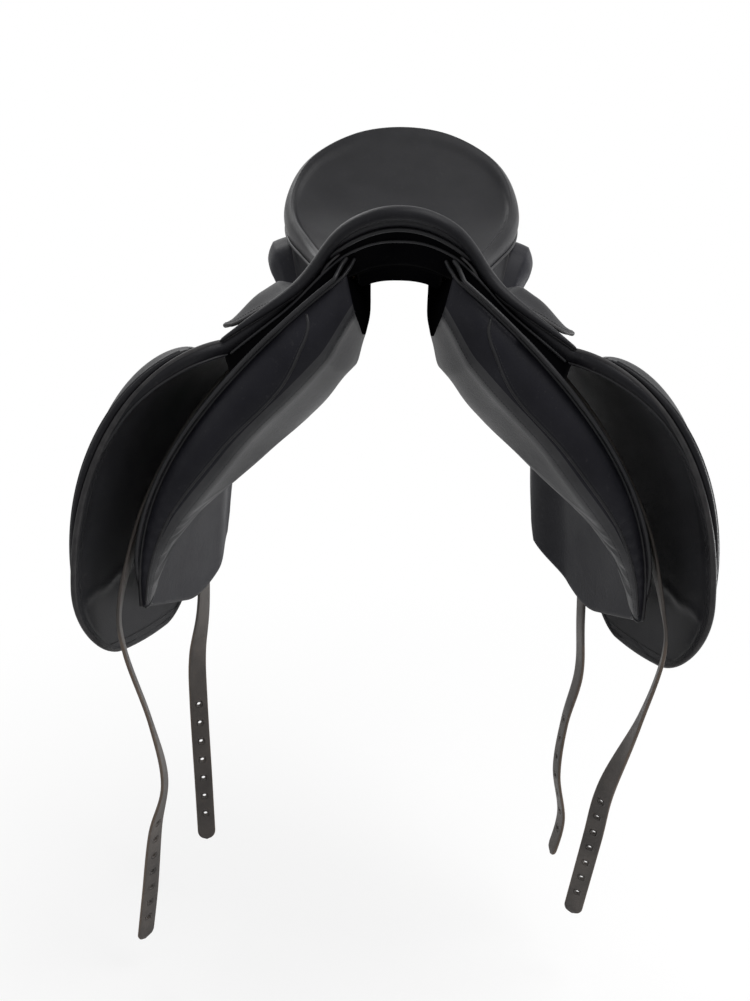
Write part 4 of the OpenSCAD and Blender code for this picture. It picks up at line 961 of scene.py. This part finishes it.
def sweat_pieces(name, side):
    """One side's sweat flap with bound edge, piping along its front and two rows of stitches."""
    def face(v, t):
        """Outer face of the sweat flap."""
        p = sweat_surface(v, t, name)
        return p + SWEAT_T * drape_n(sweat_place(v, t)[0], p[..., 1])

    g = face(np.linspace(0, 1, 96)[:, None], np.linspace(0, 1, 84)[None])
    bound = 1 - smooth((edge_distance(g) - SWEAT_BOUND_W) / 1.5)
    sheet_piece("sweat_leather_" + name, g, SWEAT_T, PANEL_HIDE, side=side, replaces=("sweat_flap_" + name,),
                outer_add=0.5 * bound)
    stitching("sweat_stitches_" + name, [edge_line(face, d, 0.5, (0.02, 1.0)) for d in (3.0, 7.6)], side=side)
    front, up = edge_line(face, 0.0, -SWEAT_T / 2, (0.0, 1.0), around=False)
    s = np.linspace(0, 0.19, 30)
    y = drape_front_y(s)
    above = drape(s, y) + SWEAT_PIPE_R * drape_n(s, y)
    start = spline([(51, 13.5, -43), (56, 9.5, -50), above[4]], np.linspace(0, 1, 14))
    line = np.concatenate([start, above[5:], front]) + 1.2 * AHEAD
    ups = np.concatenate([np.tile(-up[0], (len(line) - len(front), 1)), -up])
    piping("sweat_piping_" + name, line, ups, SWEAT_PIPE_R, side=side)


def softened(g, times, share):
    """Grid smoothed by repeated means of neighbours along both directions, by a share at each point; borders stay."""
    for _ in range(times):
        near = (g[:-2, 1:-1] + g[2:, 1:-1] + g[1:-1, :-2] + g[1:-1, 2:]) / 4
        g = g.copy()
        g[1:-1, 1:-1] += 0.7 * share[1:-1, 1:-1, None] * (near - g[1:-1, 1:-1])
    return g


def weld(parts):
    """Joins grids of quads into one mesh and merges the points that fall together."""
    v, q = join(parts)
    _, first, back = np.unique(np.round(v, 3), axis=0, return_index=True, return_inverse=True)
    return v[first], back.ravel()[q]


def on_grid(g, r, c):
    """Points of a grid at row and column shares, by mixing the four nearest."""
    r, c = clip01(r) * (g.shape[0] - 1), clip01(c) * (g.shape[1] - 1)
    i, j = np.minimum(r.astype(int), g.shape[0] - 2), np.minimum(c.astype(int), g.shape[1] - 2)
    fr, fc = (r - i)[:, None], (c - j)[:, None]
    return mix(mix(g[i, j], g[i, j + 1], fc), mix(g[i + 1, j], g[i + 1, j + 1], fc), fr)


# Seam on a panel's front wall: share along the wall, and share down it
FRONT_SEAM = [(0.118, 0.12), (0.122, 0.34), (0.14, 0.5), (0.175, 0.64), (0.22, 0.79), (0.28, 0.9), (0.36, 0.94),
              (0.5, 0.9), (0.7, 0.88), (0.86, 0.95), (0.985, 0.98)]
# Rounding of the bearing face's front and rear edge: its run, then for each edge its height and share of the depth
ROUND_RUN, ROUND_FRONT, ROUND_REAR = 18, (11, 0.3), (9, 0.25)


def panel_pieces(name, side):
    """One side's stuffed panel: upper face, bearing face and four bulging walls sewn together, with piping on the
    seams and small wrinkles drawn towards the thin front tip."""
    na, nw = 96, 12
    a = np.linspace(0, 1, na)
    t = np.concatenate([np.linspace(0, 0.1, 24)[:-1], np.linspace(0.1, 0.9, 62), np.linspace(0.9, 1, 26)[1:]])
    nt, col = len(t), a[:, None]
    top, low = panel_base(col, t), panel_low(col, t)
    tip = smooth((col - 0.62) / 0.3) * smooth((0.22 - t) / 0.2)
    folds = np.sin(2 * np.pi * (col * 24 + 1.3 * np.sin(col * 40) + t * 6)) * tip
    folds = 1.3 * folds * np.minimum(1, np.minimum(col, 1 - col) * 30) * np.minimum(1, t * 40)
    low = low - folds[..., None] * grid_normals(low)
    run = np.concatenate([np.zeros((na, 1)), np.cumsum(steps(low, 1), 1)], 1)
    for far, (most, part) in ((run, ROUND_FRONT), (run[:, -1:] - run, ROUND_REAR)):
        turn = clip01(1 - far / ROUND_RUN)
        raised = np.minimum(most, part * np.linalg.norm(top - low, axis=2)) * (1 - np.sqrt(1 - 0.9999 * turn ** 2))
        low = low + raised[..., None] * unit(top - low)
    low = softened(low, 140, np.broadcast_to(smooth((t - 0.28) / 0.1), (na, nt)))
    height = np.linalg.norm(top - low, axis=2)
    w = np.linspace(0, 1, nw)[:, None, None]

    def wall(edge, beside, foot, k, bulge):
        """Wall from an edge of the upper face to one of the bearing face, bulging away from the panel."""
        fade = np.sin(np.pi / 2 * clip01(np.minimum(k, 1 - k) / 0.14))
        return mix(edge, foot, w) + 4 * w * (1 - w) * (fade * bulge)[:, None] * unit(edge - beside)

    front_fold = 1.2 * np.sin(2 * np.pi * a * 26) * smooth((a - 0.55) / 0.3)
    front = wall(top[:, 0], top[:, 1], low[:, 0], a, np.minimum(9, 0.22 * height[:, 0]) + front_fold)
    rear = wall(top[:, -1], top[:, -2], low[:, -1], a, 0.25 * height[:, -1])
    outer = wall(top[-1], top[-2], low[-1], t, 0.2 * height[-1])
    inner = wall(top[0], top[1], low[0], t, 0.12 * height[0])
    v, q = weld([(g, quads_of(*g.shape[:2])[:, ::way])
                 for g, way in ((top, 1), (low, -1), (front, 1), (rear, -1), (outer, 1), (inner, -1))])
    # The inner wall beside the channel takes the near-black painted shade, and the bearing face the lighter calf of
    # painted light
    kind, faces = np.zeros(len(q)), (na - 1) * (nt - 1)
    kind[-(nw - 1) * (nt - 1):] = 1
    kind[faces:2 * faces] = 2
    pad = make_piece("panel_" + name + "_stuffed", v, q, PANEL_HIDE, "saddle", side,
                     ("panel_" + name,), more=([PAINTED_SHADE_HIDE, BEARING_PAINTED_LIGHT_HIDE], kind))

    facts = {"slot": "panel_leather", "side": side}
    start = spline([(44, 17, -44), (47.5, 13.5, -51), top[1, 0]], np.linspace(0, 1, 14))
    line = np.concatenate([start, top[2:, 0] + 0.8 * unit(top[:, 0] - top[:, 1])[2:]])
    up = grid_normals(top)[2:, 0]
    up = np.concatenate([np.tile(up[0], (len(start), 1)), up])
    piping("panel_piping_top_" + name, line, up, PANEL_TOP_PIPE_R, **facts)
    along, down = spline(FRONT_SEAM, np.linspace(0, 1, 180)).T
    seam, away = on_grid(front, down, along), unit(on_grid(-grid_normals(front), down, along))
    piping("panel_piping_low_" + name, seam + 0.5 * away, away, PANEL_SEAM_PIPE_R, **facts)
    beside = on_grid(front, down[8:] - 0.075, along[8:])
    stitching("panel_seam_" + name, [(beside + 0.1 * away[8:], away[8:])], **facts)
    piping("panel_piping_outer_" + name, low[-1], unit(low[-1] - low[-2]), PANEL_OUTER_PIPE_R, **facts)
    stitching("panel_stitches_" + name, [(low[:, 3], -grid_normals(low)[:, 3])], **facts)


def side_pieces(name, side):
    """Leather between the seat's low piping and the top of the flap, a little full."""
    y = np.linspace(5, 226, 90)
    ex, ez = edge_of_seat(y)
    top = np.stack([ex * 0.965, y, ez - 2 * WELT_R - 3 * GAP], 1)
    foot = side_pt(y, np.minimum(TOP_LEN + 3, (BEND_X - top[:, 0] - 4) / COS_S), 2 * GAP)
    h = np.linspace(0, 1, 14)[:, None, None]
    g = mix(top, foot, h) + 4 * h * (1 - h) * np.array([1.5, 0, 0.9])
    sheet_piece("side_cover_" + name, g, LINING_T, FLAP_HIDE, side=side, replaces=("side_leather_" + name,))


# Section of a billet: places across it, and how far its skin lies under the full thickness there
STRAP_COLUMNS = np.array([-12, -11.3, -9.8, -8, -6, -4, -2, 0, 2, 4, 6, 8, 9.8, 11.3, 12]) * BILLET_W / 24
STRAP_SKIN = np.array([-1.1, -0.25, -0.3, 0, 0, 0, 0, 0, 0, 0, 0, 0, -0.3, -0.25, -1.1])
ROW_STEP, TIP_LEN, HOLE_EDGE = 2.0, 14, 0.5


def billet_piece(kind, name, side):
    """One billet: a flat strap along its route, crowned and creased along its edges, rounded at the tip, with punched
    holes. Rows are 2 mm apart from the tip, so that each hole sits in a block of four by four cells."""
    points, turns = billet_route(kind, name)
    share = np.linspace(0, 1, 1200)
    path, turn = spline(points, share), spline(turns, share)
    d = run_length(path)
    t = unit(np.gradient(path, axis=0))
    y = unit(np.array([0.0, 1, 0]) - t[:, 1:2] * t)
    wide = np.cos(turn) * y + np.sin(turn) * np.cross(t, y)
    out = np.cross(t, wide)

    def at(from_tip, across, height):
        """Point at a distance from the tip, across the strap and above its middle."""
        from_tip, across, height = grids(from_tip, across, height)
        p, w, o = [sample(d[-1] - from_tip, d, f) for f in (path, wide, out)]
        return p + across[..., None] * unit(w) + height[..., None] * unit(o)

    rows = np.append(np.arange(0, d[-1] - 3, ROW_STEP), d[-1])[:, None]
    m, n = len(rows), len(STRAP_COLUMNS)
    narrow = np.sqrt(np.clip(1 - (1 - clip01(rows / TIP_LEN)) ** 2, 0.004, 1))
    across = STRAP_COLUMNS * narrow
    half = (BILLET_T / 2 + STRAP_SKIN) * np.clip(rows / 5, 0.45, 1)
    verts = [at(rows, across, half).reshape(-1, 3), at(rows, across, -half).reshape(-1, 3)]
    keep = np.ones((m - 1, n - 1), bool)
    di, dj = np.array(np.divmod(rim_loop(5, 5), 5)) - 2
    angle = np.arctan2(dj, di)
    centre, start, walls = (n - 1) // 2, 2 * m * n, []
    for k in range(HOLE_COUNT):
        row = int(round((FIRST_HOLE + HOLE_PITCH * k) / ROW_STEP))
        keep[row - 2:row + 2, centre - 2:centre + 2] = False
        block = (row + di) * n + centre + dj
        for inset, face in ((0, 1), (HOLE_EDGE, 1), (HOLE_EDGE, -1), (0, -1)):
            r = HOLE_D / 2 + HOLE_EDGE - inset
            verts.append(at(rows[row] + r * np.cos(angle), r * np.sin(angle), face * (BILLET_T / 2 - inset)))
        loops = [block] + [start + 16 * r + np.arange(16) for r in range(4)] + [block + m * n]
        walls += [strip(b, a) for a, b in zip(loops[:-1], loops[1:])]
        start += 64
    faces = quads_of(m, n).reshape(m - 1, n - 1, 4)[keep]
    rim = rim_loop(m, n)
    quads = np.concatenate([faces[:, ::-1], faces + m * n, strip(rim + m * n, rim)] + walls)
    hanging = smooth((WORN_SHARE[kind] * d[-1] - rows) / 60)
    edge = clip01(1.15 - (BILLET_W / 2 * narrow - np.abs(across)) / 2.4) * hanging
    rub = np.concatenate([edge.ravel(), edge.ravel(), np.full(start - 2 * m * n, 0.6)])
    node = "billet_" + kind + "_" + name
    make_piece(node + "_strap", np.concatenate(verts), quads, STRAP_HIDE, node, side, (node,), rub=rub)


seat_pieces()
back_leather()
head_pieces()
for name, side in SIDES.items():
    for pieces in (flap_pieces, thigh_pieces, skirt_pieces, sweat_pieces, panel_pieces, side_pieces):
        pieces(name, side)
    billet_piece("front", name, side)
    billet_piece("rear", name, side)

KEPT = {"tree": WOOD, "seat_web": WEB, "girth_web": WEB, "point_pocket": FLAP_HIDE}
for node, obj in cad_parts.items():
    finish = next((m for key, m in KEPT.items() if node.startswith(key)), STEEL)
    obj.data.materials.clear()
    obj.data.materials.append(finish)


# Floor, light and camera, in metres

FLOOR_Z, FLOOR_HALF = -0.9, 6.0
# The camera sees the floor paler than it is lit: by the least share near the saddle, and pure white farther out
WHITE_NEAR, WHITE_FAR, WHITE_LEAST = 0.45, 1.6, 0.6
WORLD_LIGHT = 0.3
# Soft lamps: place, width and power. A key above the right front, a fill from the left, one low on the right that
# reaches under the saddle, and one above the left rear
LAMPS = {"key": ((1.2, -0.5, 2.2), 1.8, 54.0), "fill": ((-2.2, -1.2, 0.5), 1.6, 8.0),
         "low": ((1.9, 0.4, -0.65), 1.2, 40.0), "rear": ((-1.3, 1.7, 1.9), 1.6, 22.0)}
LAMPS_AIM = Vector((0, 0, -0.2))
# Camera as fitted to the picture: 17 degrees down, a little to the left and rolled by 1.2 degrees
PITCH, YAW, ROLLED = math.radians(17.17), math.radians(1.12), math.radians(1.2)
CAMERA_AT, FOCAL_PIXELS, HIGH_PIXELS, SENSOR = (0.0, -1.1925, 0.0977), 1000, 1001, 36.0


def pale_floor():
    """Pale floor a little under the billets, which keeps the saddle's shadow."""
    r = FLOOR_HALF
    mesh = bpy.data.meshes.new("floor")
    mesh.from_pydata([(x, y, FLOOR_Z) for x, y in ((-r, -r), (r, -r), (r, r), (-r, r))], [], [(0, 1, 2, 3)])
    floor = bpy.data.objects.new("floor", mesh)
    bpy.context.scene.collection.objects.link(floor)
    material, tree, shader, where = blank("pale_floor")
    far = put(tree, "VectorMath", {0: where}, operation="LENGTH").outputs["Value"]
    fade = ramp(tree, far, WHITE_NEAR, WHITE_FAR, WHITE_LEAST, 1.0, kind="SMOOTHSTEP")
    seen = maths(tree, "MULTIPLY", fade, put(tree, "LightPath").outputs["Is Camera Ray"])
    white = put(tree, "Emission", {"Color": (1, 1, 1, 1), "Strength": 1.0}).outputs[0]
    both = put(tree, "MixShader", {0: seen, 1: shader.outputs[0], 2: white}).outputs[0]
    feed(tree, tree.nodes["Material Output"], {"Surface": both})
    shade = blended(tree, noise(tree, where, 40.0, 2.0)["Fac"], (0.94, 0.94, 0.94), (0.96, 0.96, 0.96))
    feed(tree, shader, {"Base Color": shade, "Roughness": 0.9, "Specular IOR Level": 0.1})
    mesh.materials.append(material)


def studio_light():
    """White surround for the camera and for reflections, which lights little by itself, and the lamps."""
    scene = bpy.context.scene
    scene.world = bpy.data.worlds.new("white_studio")
    scene.world.use_nodes = True
    tree = scene.world.node_tree
    rays = put(tree, "LightPath").outputs
    shown = maths(tree, "MAXIMUM", rays["Is Camera Ray"], rays["Is Glossy Ray"])
    shown = maths(tree, "MAXIMUM", shown, rays["Is Transmission Ray"])
    feed(tree, tree.nodes["Background"], {"Color": (1, 1, 1, 1), "Strength": ramp(tree, shown, low=WORLD_LIGHT)})
    for name, (place, size, power) in LAMPS.items():
        lamp = bpy.data.lights.new(name, "AREA")
        lamp.energy, lamp.size = power, size
        obj = bpy.data.objects.new(name, lamp)
        obj.location = place
        obj.rotation_euler = (LAMPS_AIM - Vector(place)).to_track_quat("-Z", "Y").to_euler()
        scene.collection.objects.link(obj)
    scene.view_settings.view_transform = "Standard"


def set_camera():
    """Camera with the picture's place, direction and focal length."""
    ahead = Vector((-math.sin(YAW) * math.cos(PITCH), math.cos(YAW) * math.cos(PITCH), -math.sin(PITCH)))
    level = Vector((math.cos(YAW), math.sin(YAW), 0))
    up = level.cross(ahead)
    right = math.cos(ROLLED) * level + math.sin(ROLLED) * up
    up = -math.sin(ROLLED) * level + math.cos(ROLLED) * up
    lens = bpy.data.cameras.new("camera")
    lens.sensor_width = lens.sensor_height = SENSOR
    lens.sensor_fit = "AUTO"
    lens.lens = SENSOR * FOCAL_PIXELS / HIGH_PIXELS
    obj = bpy.data.objects.new("camera", lens)
    obj.matrix_world = Matrix((*zip(right, up, -ahead, CAMERA_AT), (0, 0, 0, 1)))
    bpy.context.scene.collection.objects.link(obj)
    bpy.context.scene.camera = obj


pale_floor()
studio_light()
set_camera()
